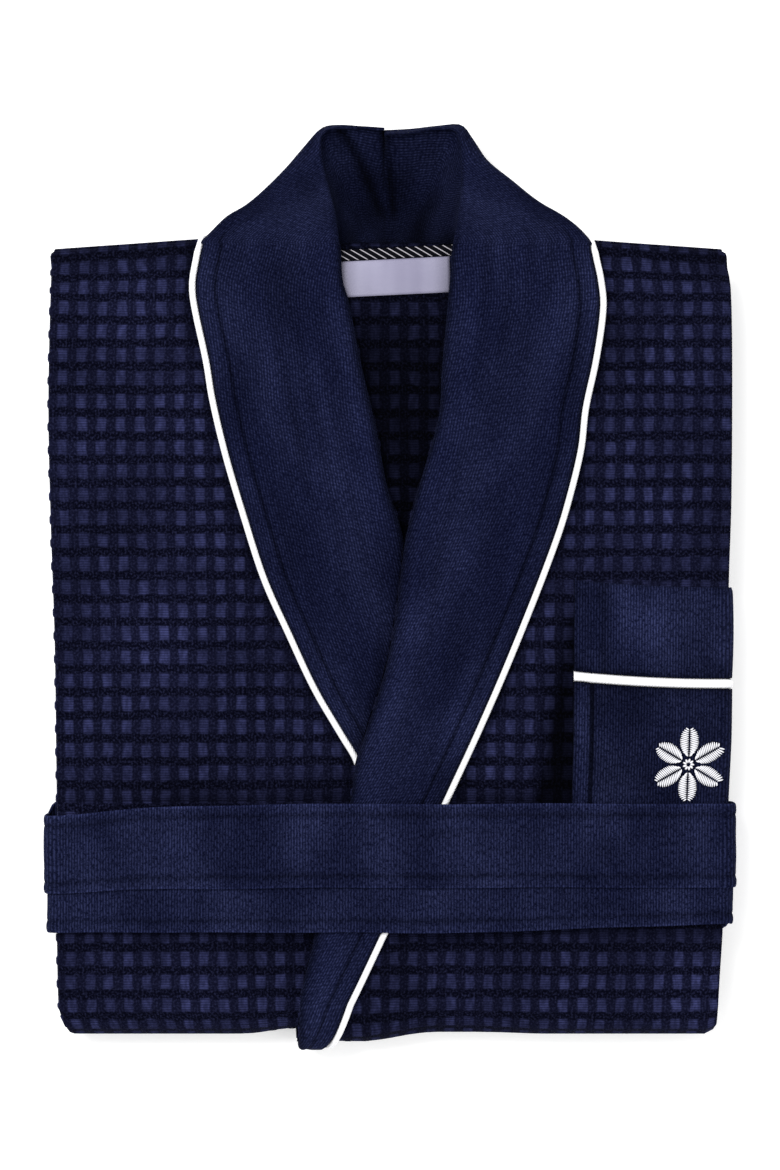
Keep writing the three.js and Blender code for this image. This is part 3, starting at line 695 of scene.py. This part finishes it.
def flat_tube(name, side, y0, y1, wall, material, rows, bulge=0.0):
    a, b = SLEEVE["inner"] + 3, SLEEVE["outer"] - 3
    outer = SLEEVE["half"] + wall / 2
    around = steps(0, 1, 56)
    width = b - a
    bend = math.pi * outer
    loop = 2 * (width + bend)

    def section(t):
        run = t * loop
        if run < width:
            return a + run, outer
        run -= width
        if run < bend:
            return b + outer * math.sin(run / outer), outer * math.cos(run / outer)
        run -= bend
        if run < width:
            return b - run, -outer
        run -= width
        return a - outer * math.sin(run / outer), -outer * math.cos(run / outer)

    def place(t, y):
        x, h = section(t)
        swell = 1 + bulge * math.sin(math.pi * clamp((y - y1) / (y0 - y1)))
        return settle(side * x, y, SLEEVE["z"] + h * swell)

    bm = cloth_grid(around, steps(y1, y0, rows), place, lambda t, y: (t * loop, y))
    bmesh.ops.recalc_face_normals(bm, faces=bm.faces)
    sew(name, bm, material, wall * 0.8, (loop, abs(y0 - y1)) if wall <= CLOTH else None)


for label, side in (("left", 1), ("right", -1)):
    cuff_top = SLEEVE["end"] - 0.8 - CUFF_PIPING
    flat_tube(f"{label}_sleeve", side, SLEEVE["top"], SLEEVE["end"], CLOTH, WAFFLE,
              40)
    flat_tube(f"{label}_cuff_piping", side, SLEEVE["end"] - 0.4, cuff_top + 0.4, 2.6, PIPING,
              6, bulge=0.12)
    flat_tube(f"{label}_cuff", side, cuff_top, cuff_top - CUFF_LENGTH, CLOTH, POCKET_VELOUR,
              8)


# Collar. Each half is one cloth: along the front it lies on its panel, round the neck it
# stands up from the neckline, rolls over and falls behind.
NECK = {
    # round the neck from the shoulder (0) to the centre-back seam (1), on the wearer's left
    1: {
        "roll": smooth([(0, 43, 225), (0.2, 46, 243), (0.4, 48.5, 262), (0.56, 48.5, 278),
                        (0.68, 47.5, 292), (0.76, 44, 301.5), (0.84, 31, 302.5),
                        (0.92, 14, 299.5), (1, -3, 298.5)]),
        "rim": smooth([(0, 138, 225), (0.06, 135, 230), (0.12, 129, 236.5), (0.2, 118, 245),
                       (0.32, 101, 255), (0.44, 84, 268.5), (0.56, 67, 282.5), (0.66, 57, 297),
                       (0.74, 49, 306.5), (0.82, 34, 306), (0.9, 16, 304), (1, -3, 303)]),
        "edge": smooth([(0, 136, 226), (0.06, 133, 229), (0.14, 128, 226), (0.22, 120, 216),
                        (0.35, 105, 209), (0.55, 75, 206), (0.78, 38, 204.5), (1, -3, 204)]),
        "neckline": smooth([(0, 50, 225.5), (0.2, 44, 226.5), (0.5, 25, 227.5),
                            (0.8, 8, 227.5), (1, -3, 227.5)]),
    },
    -1: {
        "roll": smooth([(0, -33, 225), (0.2, -35, 243), (0.4, -39, 260), (0.56, -42.5, 274),
                        (0.68, -45, 288), (0.76, -44, 299.5), (0.84, -33, 303.5),
                        (0.92, -18, 303.5), (1, -3, 302.5)]),
        "rim": smooth([(0, -127, 225), (0.06, -125, 229), (0.12, -121, 233), (0.2, -110, 244),
                       (0.32, -97, 252), (0.44, -85, 262), (0.56, -70, 277), (0.66, -58, 291),
                       (0.74, -46, 304), (0.82, -34, 306.5), (0.9, -18, 305.5), (1, -3, 304.5)]),
        "edge": smooth([(0, -125, 226), (0.06, -123, 228.5), (0.14, -119, 226), (0.22, -113, 216),
                        (0.35, -100, 209), (0.55, -72, 206), (0.78, -38, 204.5), (1, -3, 204)]),
        "neckline": smooth([(0, -41, 225.5), (0.2, -37, 226.5), (0.5, -24, 227.5),
                            (0.8, -10, 227.5), (1, -3, 227.5)]),
    },
}
EDGE_Z = smooth([(0, 41), (0.06, 36), (0.12, 28), (0.2, 23.5), (0.3, 22.5), (1, 22)])
RIM_TOP_Z = smooth([(0, 45.5), (0.1, 44), (0.3, 42.5), (0.6, 38.5), (0.75, 35), (1, 33)])
RIM_LOW_Z = smooth([(0, 40.5), (0.06, 35), (0.12, 27), (0.2, 22), (0.5, 20), (1, 19)])
ROLL_Z = smooth([(0, 40.5), (0.3, 40), (0.6, 38.5), (0.76, 36), (1, 34.5)])
HALF_NECK = 150.0  # length of the collar's cut from the shoulder to the centre-back seam
STITCH_IN = 15.0  # topstitching inside the piping
STAND_COLUMNS = 16
FACE = steps(0, 0.25, 12) + steps(0.25, 0.72, 14)[1:] + steps(0.72, 1, 26)[1:]


def collar_surface(x, s, side, pipe, roll):
    """Extra height of the collar's face: a soft crown, full edges and the stitched groove."""
    from_pipe = abs(pipe - x)
    from_roll = abs(x - roll)
    crown = 0.9 * clamp(from_pipe / 20) * clamp(from_roll / 20)
    groove = -1.3 * bell(from_pipe - STITCH_IN, 1.5)
    padded = 0.6 * bell(from_pipe - 7, 4.5)
    full = 1.6 * bell(from_roll, 9)
    soft = grain(x / 30, s / 44, 3.0 * side) * 1.1
    drawn = grain(from_roll / 11, s / 95, 8.0 * side) * 0.9
    return crown + groove + padded + full + (soft + drawn) * clamp(from_pipe / 15)


def collar_tone_and_painted_light(x, s, side, pipe, roll):
    """Painted light on the collar: painted shade in the stitching groove, right at the roll edge and
    along the piping, a painted highlight a little beyond the roll, a painted shadow where the other
    half lies over it, and a random tone with streaks.
    """
    from_pipe = abs(pipe - x)
    from_roll = abs(x - roll)
    stitch = 0.6 * bell(from_pipe - STITCH_IN, 1.2)
    crest = 0.2 * bell(from_roll - 11, 7) - 0.5 * bell(from_roll, 4)
    rim = -0.45 * bell(from_pipe, 2.2)
    tone = 0.22 * grain(x / 24, s / 60, 2.0 * side)
    streak = 0.22 * grain(from_roll / 7, s / 120, 6.0 * side)
    covered = 0.0
    if side < 0 and s > 60:  # shaded by the other half, which lies over it
        covered = 0.6 * fade(max(0.0, roll_left(s) - x), 8)
    return max(0.15, (1 - stitch) * (1 - covered) * (1 + crest + rim + tone + streak))


def front_row(s, side):
    """Points across the collar half at distance s down the front, from tuck to outer edge, each
    with how light its colour is drawn: painted shade on the tuck and on the turned edges, and the
    face's painted light and tone."""
    roll, pipe, shift = SIDES[side]
    r, p = roll(s), pipe(s)
    lap = min(1.0, abs(p - r) / 60)
    above = 1 - below(s)  # the underside lies flat on what it rests on
    half = COLLAR_STACK / 2
    edge = p - side * (PIPING_RADIUS + 0.2)
    points = [(r + side * mix(13 * lap, half, t), -0.35, 0.3) for t in steps(0, 1, STAND_COLUMNS)]
    for t in steps(0, math.pi, 6)[1:-1]:
        points.append((r + side * half * (1 - math.sin(t)), -half + half * math.cos(t), 0.5))
    for t in FACE:
        x = mix(r + side * half, edge - side * half * 0.8, t)
        points.append((x, -COLLAR_STACK - collar_surface(x, s, side, p, r) * lap * above,
                       collar_tone_and_painted_light(x, s, side, p, r)))
    for t in steps(0, math.pi, 6)[1:-1]:
        points.append((edge - side * half * 0.8 * (1 - math.sin(t)), -half - half * math.cos(t),
                       0.5))
    for t in steps(0, 1, 5):
        points.append((edge - side * mix(half * 0.8, 9 * lap, t), -0.35, 0.5))
    return [(robe_point(x, s, d, shift), tone) for x, d, tone in points]


def neck_creases(x, y):
    """How deep the stand is creased: one fold curves in from the left, one hangs by the seam."""
    down = clamp((303 - y) / 63)
    curved = bell(x - mix(-33, -3, down ** 0.75), 4.0)
    hanging = bell(x - mix(-3, 4, down), 3.0)
    return max(curved, hanging) * (1 - ramp(0.85, 1.0, down))


def neck_row(r, side):
    """Points across the collar half at share r of the way round the neck, each with how light its
    colour is drawn, painted light and shade with a random tone.
    """
    guide = NECK[side]
    nx, ny = guide["neckline"](r)
    rx, ry = guide["roll"](r)
    fx, fy = guide["rim"](r)
    ex, ey = guide["edge"](r)
    roll_z, top_z, low_z, edge_z = ROLL_Z(r), RIM_TOP_Z(r), RIM_LOW_Z(r), EDGE_Z(r)
    reach = math.hypot(fx - rx, fy - ry) or 1.0
    out = ((fx - rx) / reach, (fy - ry) / reach)
    half = COLLAR_STACK / 2
    dip = 5.5 * ramp(0.0, 0.45, r)
    near = ramp(0, 0.3, r)
    own = ramp(0, 0.24, r)  # how far it has left the level of the front
    roll_line, pipe_line, shift = SIDES[side]
    front, pipe = roll_line(0), pipe_line(0)
    points = []
    for t in steps(0, 1, STAND_COLUMNS):  # the stand, seen through the neck
        x, y = mix(nx, rx, t), mix(ny, ry - 1.0, t)
        crease = neck_creases(x, y) * near
        z = mix(32.6, roll_z - half, t ** 1.6) - dip * math.sin(math.pi * t) - 2.6 * crease
        # painted light on the stand: darker deep in the neck and in its creases, lighter towards the
        # roll
        lit = 0.3 + 0.45 * t + 0.3 * grain(x / 14, y / 20, 3.0)
        points.append((x, y, z, max(0.1, lit * (1 - 0.75 * crease))))
    # the roll is painted a little darker as shade
    for t in steps(0, math.pi, 6)[1:-1]:
        lean = half * (1 - math.sin(t)) * ramp(0, 6, reach)
        points.append((rx + out[0] * lean, ry + out[1] * lean,
                       roll_z - half * math.cos(t) + half * 0.4 * t / math.pi, 0.75))
    bow = min(half, reach * 0.3)
    for t in FACE:
        x = mix(rx + out[0] * bow, fx - out[0] * bow, t)
        y = mix(ry + out[1] * bow, fy - out[1] * bow, t)
        z = mix(roll_z + half, top_z, t ** 0.8) + 1.6 * math.sin(math.pi * t) * clamp(reach / 60)
        z += grain(x / 26, y / 30, 5.0 * side) * 1.3 * clamp(reach / 50)
        x0 = mix(front + side * half, pipe - side * (PIPING_RADIUS + 0.2 + half * 0.8), t)
        level = PACK_HEIGHT + COLLAR_STACK + collar_surface(x0, 0, side, pipe, front)
        z = mix(level - shift(x0, 0), z, own)
        tone = 1 + 0.3 * grain(x / 22, y / 24, 2.0 * side)
        tone = mix(collar_tone_and_painted_light(x0, 0, side, pipe, front), tone, own)
        # painted shade towards the outer rim and in the stitching groove
        fade = 0.3 * own * bell((1 - t) * reach, 7)
        stitch = 0.45 * bell((1 - t) * reach - STITCH_IN, 1.3)
        stitch *= own * (1 - ramp(0.1, 0.3, r))
        points.append((x, y, z, tone * (1 - fade) * (1 - stitch)))
    # the rim's fall behind (0.6) and the edge below it (0.7) are painted darker as shade
    for t in steps(0, math.pi, 6)[1:-1]:
        lean = bow * (1 - math.sin(t))
        points.append((fx - out[0] * lean, fy - out[1] * lean,
                       mix(top_z, low_z, (1 - math.cos(t)) / 2), 0.6))
    for t in steps(0, 1, 5):
        points.append((mix(fx - out[0] * bow, ex, t), mix(fy - out[1] * bow, ey, t),
                       mix(low_z, edge_z, t), 0.7))
    return [(settle(x, y, z), tone) for x, y, z, tone in points]


def measure(row, middle):
    """Distances in millimetres along a row, counted from its point number middle."""
    run = [0.0]
    for (a, _), (b, _) in zip(row, row[1:]):
        run.append(run[-1] + (b - a).length / MM)
    return [value - run[middle] for value in run]


def collar_half(label, side, material):
    downs = down_lines(0, BODY_LENGTH, 100, 14, 30)
    turns = steps(0, 1, 44)[1:]
    rows = [front_row(s, side) for s in downs] + [neck_row(r, side) for r in turns]
    lengths = [-s for s in downs] + [HALF_NECK * r for r in turns]
    rim = STAND_COLUMNS + 5 + len(FACE)
    cuts = [measure(row, rim) for row in rows]
    order = list(range(len(rows[0])))
    if side < 0:
        order.reverse()

    bm = cloth_grid(order, list(range(len(rows))), lambda i, j: rows[j][i][0],
                    lambda i, j: (cuts[j][i], lengths[j]), lambda i, j: rows[j][i][1])
    width = max(cut[-1] - cut[0] for cut in cuts)
    sew(f"collar_{label}", bm, material, WALL["collar"], (width, BODY_LENGTH + HALF_NECK))


collar_half("left", 1, COLLAR_VELOUR)
collar_half("right", -1, COLLAR_VELOUR_MIRROR)


def under_collar(label, side):
    """The under collar, flat inside its half of the collar."""
    roll, pipe, shift = SIDES[side]
    downs = down_lines(8, BODY_LENGTH - 4, 60, 12, 24)
    across = steps(0, 1, 12) if side > 0 else steps(1, 0, 12)

    def place(t, s):
        a = roll(s) + side * 6
        b = pipe(s) - side * 7
        return robe_point(mix(a, b, t), s, -COLLAR_STACK * 0.5 - 0.5, shift)

    def flat(t, s):
        return mix(roll(s) + side * 6, pipe(s) - side * 7, t), -s

    bm = cloth_grid(across, downs, place, flat)
    sew(f"under_collar_{label}", bm, LINING, WALL["under_collar"], (100, BODY_LENGTH))


under_collar("left", 1)
under_collar("right", -1)


def cord_tube(points, radii, around=10):
    """A tube of cloth-covered cord through the points, made from a rolled grid."""
    count = len(points)
    frames = []
    side = Vector((0, 0, 1))
    for i, point in enumerate(points):
        ahead = points[min(count - 1, i + 1)] - points[max(0, i - 1)]
        ahead.normalize()
        side = (side - ahead * side.dot(ahead)).normalized()
        frames.append((point, side.copy(), ahead.cross(side)))
    lengths = [0.0]
    for a, b in zip(points, points[1:]):
        lengths.append(lengths[-1] + (b - a).length / MM)

    def place(k, i):
        centre_point, up, across = frames[i]
        angle = 2 * math.pi * k / around
        return centre_point + (up * math.cos(angle) + across * math.sin(angle)) * radii[i] * MM

    bm = cloth_grid(list(range(around + 1)), list(range(count)), place,
                    lambda k, i: (13.0 * k / around, lengths[i]))
    ends = [edge for edge in bm.edges if edge.is_boundary]
    bmesh.ops.holes_fill(bm, edges=ends, sides=around + 1)
    bmesh.ops.recalc_face_normals(bm, faces=bm.faces)
    return bm


def collar_piping(label, side):
    _, pipe, shift = SIDES[side]
    downs = down_lines(5, BODY_LENGTH, 100, 14, 30)
    points = [robe_point(pipe(s) + side * 0.4, s, -COLLAR_STACK / 2 - 0.3 * (1 - below(s)), shift)
              for s in downs]
    radii = [PIPING_RADIUS + 0.1 for _ in downs]
    for r in steps(0, 1, 40)[1:]:
        ex, ey = NECK[side]["edge"](r)
        lift = 1.5 * (1 - ramp(0.1, 0.25, r))
        points.append(settle(ex + side * 1.6 * (1 - r), ey - 1.6 * ramp(0.1, 0.3, r) + lift,
                             EDGE_Z(r)))
        radii.append(PIPING_RADIUS)
    sew(f"collar_piping_{label}", cord_tube(points, radii), PIPING)


collar_piping("left", 1)
collar_piping("right", -1)


# Neck tape and label, lying on the inside of the back panel
def on_back(x, y, above):
    return robe_point(x, SHOULDER_Y - y, PITCH - above, back_shift)


def neck_tilt(x):
    """The tape and the label slant up a little towards the wearer's left."""
    return 2.2 * (x - 5) / 45


NECK_TAPE = {"right": -41, "left": 51, "low": 217.0, "high": 224.2}
NECK_LABEL = {"right": -40, "left": 41, "low": 192.5, "high": 216.5}


def hanger_loop():
    right, left, low, high = NECK_TAPE.values()

    def place(x, t):
        arch = 0.9 * math.sin(math.pi * t)
        return on_back(x, mix(low, high, t) + neck_tilt(x), 0.5 + arch)

    bm = cloth_grid(steps(right, left, 46), steps(0, 1, 6), place,
                    lambda x, t: (x, (high - low) * t))
    sew("hanger_loop", bm, TAPE, WALL["tape"], (left - right, high - low))


def neck_label():
    right, left, low, high = NECK_LABEL.values()

    def place(x, t):
        lift = 0.7 + 1.0 * math.sin(math.pi * (x - right) / (left - right)) * (1 - t)
        return on_back(x, mix(low, high, t) + neck_tilt(x), lift)

    # painted shade at both ends, where the collar halves shadow the label, and slightly towards its
    # lower edge
    def tone_and_painted_light(x, t):
        return 1 - 0.5 * fade(x + 36, 9) - 0.45 * fade(42 - x, 7) - 0.12 * (1 - t)

    bm = cloth_grid(steps(right, left, 40), steps(0, 1, 12), place,
                    lambda x, t: (x, (high - low) * t), tone_and_painted_light)
    sew("neck_label", bm, SATIN, WALL["label"], (left - right, high - low))


hanger_loop()
neck_label()


# Patch pockets: a body, a piping and a band, wrapped round the side fold
HEM_STITCH = 12.0  # from the pocket's inner edge


def pocket_patch(name, side, size, s0, s1, material, shape, tone, tilt=0.0):
    """shape gives the extra height and tone how light the colour is drawn, painted light and shade
    with a random tone, both by share across, share down, distance from the inner edge and distances
    from the top and the end."""
    shift = SIDES[side][2]
    reach = SIDE_X + SIDE_ARC + size["wrap"] - size["inner"]
    across = steps(0, 2 * HEM_STITCH, 30) + steps(2 * HEM_STITCH, reach, 60)[1:]
    downs = [*reversed(steps(min(s0, s1), max(s0, s1), max(4, round(abs(s1 - s0) / 2.6))))]
    if side < 0:
        across.reverse()

    def place(a, s):
        w = side * (size["inner"] + a)
        reached = clamp(a / (SIDE_X - size["inner"]))
        lean = tilt * reached * (2 - reached)
        down = (s - s0) / (s1 - s0)
        height = shape(a / reach, down, a, abs(s - s0), abs(s1 - s)) * (1 if s < FOLD_START else 0.2)
        return robe_point(w, s + lean, -TRIM_GAP - VELOUR * 0.8 - height, shift)

    def tone_and_painted_light(a, s):
        return tone(a / reach, (s - s0) / (s1 - s0), a, abs(s - s0), abs(s1 - s))

    bm = cloth_grid(across, downs, place, lambda a, s: (a, -s), tone_and_painted_light)
    cut = (reach, abs(s1 - s0)) if material is not PIPING else None
    sew(name, bm, material, WALL["pocket"], cut)


def stitched(share, down, a, top, end):
    """Soft cloth with a turned edge and one line of stitching down its inner side."""
    rim = -0.7 * fade(a, 1.2) - 0.5 * fade(end, 1.2)
    groove = -1.2 * bell(a - HEM_STITCH, 1.1)
    hem = 0.9 * bell(a - HEM_STITCH * 0.5, HEM_STITCH * 0.35)
    return rim + groove + hem + 0.5 * math.sin(math.pi * share)


# painted light on the pocket body: painted shade in the stitching groove and at the inner and top
# edges, a painted highlight on the hem, and a random tone
def stitched_tone_and_painted_light(share, down, a, top, end):
    groove = 0.9 * bell(a - HEM_STITCH - 0.6, 1.5)
    hem = 0.3 * bell(a - HEM_STITCH * 0.55, 4.0)
    edge = 0.5 * fade(a, 1.2) + 0.4 * fade(top, 3.0)
    return max(0.15, (0.78 + hem + 0.2 * grain(a / 16, down * 5, 1.0) - edge)
               * (1 - groove))


def banded(share, down, a, top, end):
    rim = -0.7 * fade(a, 1.2) - 0.9 * fade(top, 1.4)
    return rim + 0.9 * math.sin(math.pi * down) + 0.3


# painted light on the pocket band: painted shade in a fold 20 mm in, at the inner edge and where it
# meets the piping, a broad painted highlight in the middle, and a random tone
def banded_tone_and_painted_light(share, down, a, top, end):
    fold = 0.3 * bell(a - 20, 3.5)
    light = 0.45 * bell(a - 45, 22) * math.sin(math.pi * clamp(down * 0.9 + 0.1))
    edge = 0.45 * fade(a, 1.5) + 0.4 * fade(end, 3.0)
    return max(0.15, (0.86 + light - edge + 0.2 * grain(a / 13, down * 4, 6.0))
               * (1 - fold))


def corded(share, down, a, top, end):
    seam = 0.5 * bell(a - HEM_STITCH, 0.6)
    round_over = 1.9 * math.sqrt(max(0.0, 1 - (2 * down - 1) ** 2))
    return round_over - 0.9 - 0.9 * fade(a, 0.8) - seam


def pocket(prefix, side, size, top, down, tilt=0.0):
    band_end = top + down * size["band"]
    piping_end = band_end + down * (0.2 + size["piping"])
    body_start = piping_end + down * 0.2
    body_end = body_start + down * size["length"]
    pocket_patch(f"{prefix}_band", side, size, top, band_end, POCKET_VELOUR, banded,
                 banded_tone_and_painted_light, tilt)
    pocket_patch(f"{prefix}_piping", side, size, band_end + down * 0.2, piping_end, PIPING,
                 corded, lambda *where: 1.0, tilt)
    pocket_patch(prefix, side, size, body_start, body_end, POCKET_VELOUR,
                 stitched, stitched_tone_and_painted_light, tilt)


pocket("chest_pocket", 1, CHEST, SHOULDER_Y - CHEST["top"], 1, tilt=5.0)
pocket("left_hip_pocket", 1, HIP, HIP_TOP, -1)
pocket("right_hip_pocket", -1, HIP, HIP_TOP, -1)


# A plain embroidered flower on the chest pocket
EMBLEM = {"x": 202.0, "y": -121.0, "ring": 14.2, "long": 9.4, "wide": 6.4, "petals": 6}


def stitch(bm, start, end, width, lift):
    """One raised stitch of thread from start to end, in millimetres from the flower's centre."""
    base = VELOUR + TRIM_GAP + 1.1
    made = bmesh.ops.create_uvsphere(bm, u_segments=8, v_segments=6, radius=1)
    length = math.hypot(end[0] - start[0], end[1] - start[1])
    nx, ny = (start[1] - end[1]) / length, (end[0] - start[0]) / length
    for vert in made["verts"]:
        t, side, up = (vert.co.z + 1) / 2, vert.co.x * width, vert.co.y * width * 0.8
        x = EMBLEM["x"] + mix(start[0], end[0], t) + nx * side
        y = EMBLEM["y"] + mix(start[1], end[1], t) + ny * side
        vert.co = robe_point(x, SHOULDER_Y - y, -base - lift * math.sin(math.pi * t) - up,
                             left_shift)


def turned(x, y, angle):
    return x * math.cos(angle) - y * math.sin(angle), x * math.sin(angle) + y * math.cos(angle)


def emblem():
    """A six-petalled flower in satin stitch, each petal with a vein down its middle."""
    bm = bmesh.new()
    rows = 15
    for i in range(EMBLEM["petals"]):
        angle = 2 * math.pi * i / EMBLEM["petals"]
        for row in range(rows):
            share = -0.92 + 1.84 * row / (rows - 1)
            for side in (-1, 1):
                jitter = 0.35 * grain(i * 7.3, row * 1.7, side * 3.1)
                reach = EMBLEM["wide"] * math.sqrt(1 - share * share) + jitter
                root = EMBLEM["ring"] + share * EMBLEM["long"]
                start = turned(side * 0.35, root, angle)
                end = turned(side * reach, root + 1.6, angle)
                stitch(bm, start, end, 0.5, 0.5)
    for k in range(9):
        angle = 2 * math.pi * k / 9
        stitch(bm, turned(0, 1.2, angle), turned(0.8, 3.9, angle), 0.75, 0.7)
    bmesh.ops.recalc_face_normals(bm, faces=bm.faces)
    sew("pocket_emblem", bm, THREAD)


emblem()


# Belt loops on the side seams, inside the fold
BELT_LOOP = {"inner": 109, "outer": 117, "low": -204.5, "high": -150.5, "depth": 8.0}


def belt_loop(label, side):
    inner, outer, low, high, depth = BELT_LOOP.values()
    across = steps(inner, outer, 6) if side > 0 else steps(outer, inner, 6)

    def place(x, y):
        return robe_point(side * x, SHOULDER_Y - y, depth, lambda a, b: 0.0)

    bm = cloth_grid(across, steps(low, high, 24), place, lambda x, y: (x, y))
    sew(f"belt_loop_{label}", bm, POCKET_VELOUR, WALL["belt_loop"],
        (outer - inner, high - low))


belt_loop("left", 1)
belt_loop("right", -1)


# Belt, one strip wound twice
ROOM = {"left": -226.5, "right": 228.0, "side": 40.9, "crown": 44.9, "corner": 7.0}


BELT_STITCH = 20.2  # from the belt's middle line
BELT_SHORT = 8  # steps of the path by which the strip falls short of two whole turns
BELT_CROSSING = (34, 2)  # steps before and after the first turn ends over which it climbs


def belt_path():
    """Round the robe once, as (x, z, outward x, outward z), from the middle of the underside."""
    low = 2 * (BELT_CLOTH + BELT_GAP)
    left, right, side, crown, corner = (ROOM[k] for k in ("left", "right", "side", "crown",
                                                          "corner"))
    top = smooth([(left + corner, side - 0.3), (-150, side), (-95, (side + crown) / 2 + 0.3),
                  (-50, crown), (30, crown), (80, (side + crown) / 2 + 0.3), (130, side),
                  (right - corner, side - 0.3)])
    points = [(x, low, 0.0, -1.0) for x in steps(0, right - corner, 40)]

    def turn(cx, cz, start):
        return [(cx + corner * math.cos(a), cz + corner * math.sin(a), math.cos(a), math.sin(a))
                for a in steps(start, start + math.pi / 2, 6)[1:-1]]

    points += turn(right - corner, low + corner, -math.pi / 2)
    points += [(right, z, 1.0, 0.0) for z in steps(low + corner, side - 0.3 - corner, 6)]
    points += turn(right - corner, side - 0.3 - corner, 0)
    points += [(x, top(x), 0.0, 1.0) for x in steps(right - corner, left + corner, 90)]
    points += turn(left + corner, side - 0.3 - corner, math.pi / 2)
    points += [(left, z, -1.0, 0.0) for z in steps(side - 0.3 - corner, low + corner, 6)]
    points += turn(left + corner, low + corner, math.pi)
    points += [(x, low, 0.0, -1.0) for x in steps(left + corner, 0, 40)[:-1]]
    return points


def belt():
    """The strip follows the path twice, first as the inner turn and then as the outer one."""
    path = belt_path()
    count = len(path)
    total = 2 * count - BELT_SHORT
    lengths = [0.0]
    for i in range(1, total):
        a, b = path[(i - 1) % count], path[i % count]
        lengths.append(lengths[-1] + math.hypot(b[0] - a[0], b[1] - a[1]))
    across = [*reversed([-28, -27.4, -26, -23.5, -21, -20.2, -19.4, *steps(-17, 17, 12), 19.4,
                         20.2, 21, 23.5, 26, 27.4, 28])]

    def turn_share(i):
        """0 on the inner turn and 1 on the outer one."""
        return ramp(count - BELT_CROSSING[0], count + BELT_CROSSING[1], i)

    def place(v, i):
        x, z, nx, nz = path[i % count]
        outer = turn_share(i)
        up = nz > 0.5
        waver = 1.3 * grain(x / 70, 5.0 * outer, 2.0) if up else 0.0
        left_end = bell(x + 232, 75)
        slant = mix(5.5 * ramp(30, 228, x) * clamp(0.5 - v / 56), -(6 + v / 14) * left_end, outer)
        slant *= ramp(-1, -0.2, nz)
        edge_lift = -0.55 * fade(BELT_HALF - abs(v), 0.9)
        groove = -0.55 * bell(abs(v) - BELT_STITCH, 0.8)
        roll = 0.45 * bell(abs(v) - 24.5, 2.4)
        soft = 0.6 * grain(x / 30, v / 14, 9.0 + 3 * outer)
        lie = mix(0.2, BELT_CLOTH + BELT_GAP, outer) + BELT_CLOTH * 0.9
        rise = lie + (edge_lift + groove + roll + max(-0.2, soft)) * (0.9 if nz > -0.5 else 0.2)
        y = mix(BELT_INNER_Y, BELT_OUTER_Y, outer) - BELT_WIDTH / 2 + v + waver + slant
        return (Vector((x + nx * rise, y, z + nz * rise)) + ORIGIN) * MM

    # painted light on the belt: painted highlights along the rolled edges, painted shade in the
    # stitching grooves, a painted shadow on the inner turn by the outer turn's edge, and a random
    # tone
    def tone_and_painted_light(i, v):
        x = path[i % count][0]
        outer = turn_share(i)
        crest = 0.7 * bell(BELT_HALF - abs(v), 1.3)
        groove = 0.38 * bell(abs(v) - BELT_STITCH, 1.2)
        tone = 0.16 * grain(x / 26, v / 9, 3 + outer)
        tone += 0.16 * grain(x / 90, v / 3.5, 13 + outer)
        shadow = 0.5 * fade(v - 2, 6) if outer < 0.5 and v > 2 else 0.0
        return max(0.2, (1 + crest + tone) * (1 - groove) * (1 - shadow * 0.6))

    bm = cloth_grid(list(range(total)), across, lambda i, v: place(v, i),
                    lambda i, v: (lengths[i], v), tone_and_painted_light)
    sew("belt", bm, BELT_VELOUR, BELT_CLOTH * 0.85, (lengths[-1], BELT_WIDTH), "belt")


belt()


# Stage, light and camera
FLOOR_GLOW = 0.3  # a lit backdrop, which washes out most of the shadow


def stage():
    """A wide pale floor, just under what lies on it."""
    bm = bmesh.new()
    bmesh.ops.create_grid(bm, x_segments=2, y_segments=2, size=14)
    weave = Weave("stage_floor")
    weave.fill(weave.shader, {"Base Color": (0.93, 0.93, 0.93, 1), "Roughness": 0.9,
                              "Emission Color": (1, 1, 1, 1), "Emission Strength": FLOOR_GLOW})
    floor = make_piece("floor", bm, weave.material)
    floor.location = (0, 0, -0.0005)


def soft_box(name, place, energy, size, colour):
    data = bpy.data.lights.new(name, "AREA")
    data.energy = energy
    data.size = size
    data.color = colour
    lamp = bpy.data.objects.new(name, data)
    lamp.location = place
    lamp.rotation_euler = (-Vector(place)).to_track_quat("-Z", "Y").to_euler()
    bpy.context.scene.collection.objects.link(lamp)


def world():
    """Even white light from all round."""
    made = bpy.data.worlds.new("studio")
    made.use_nodes = True
    made.node_tree.nodes["Background"].inputs["Color"].default_value = (1, 1, 1, 1)
    made.node_tree.nodes["Background"].inputs["Strength"].default_value = 0.72
    bpy.context.scene.world = made


VIEW_HEIGHT = 0.780  # metres from the top of the picture to the bottom


def camera():
    """Straight down from far off, so that next to nothing is foreshortened."""
    data = bpy.data.cameras.new("camera")
    data.lens = 150
    data.sensor_width = 36
    distance = VIEW_HEIGHT * data.lens / data.sensor_width
    eye = bpy.data.objects.new("camera", data)
    eye.location = (0, 0, distance + 0.04)
    bpy.context.scene.collection.objects.link(eye)
    bpy.context.scene.camera = eye


stage()
world()
soft_box("key", (-0.95, 0.95, 2.1), 54, 1.2, (1, 1, 1))
soft_box("fill", (1.3, -0.9, 1.9), 16, 1.8, (1, 1, 1))
camera()
bpy.context.scene.view_settings.view_transform = "Standard"
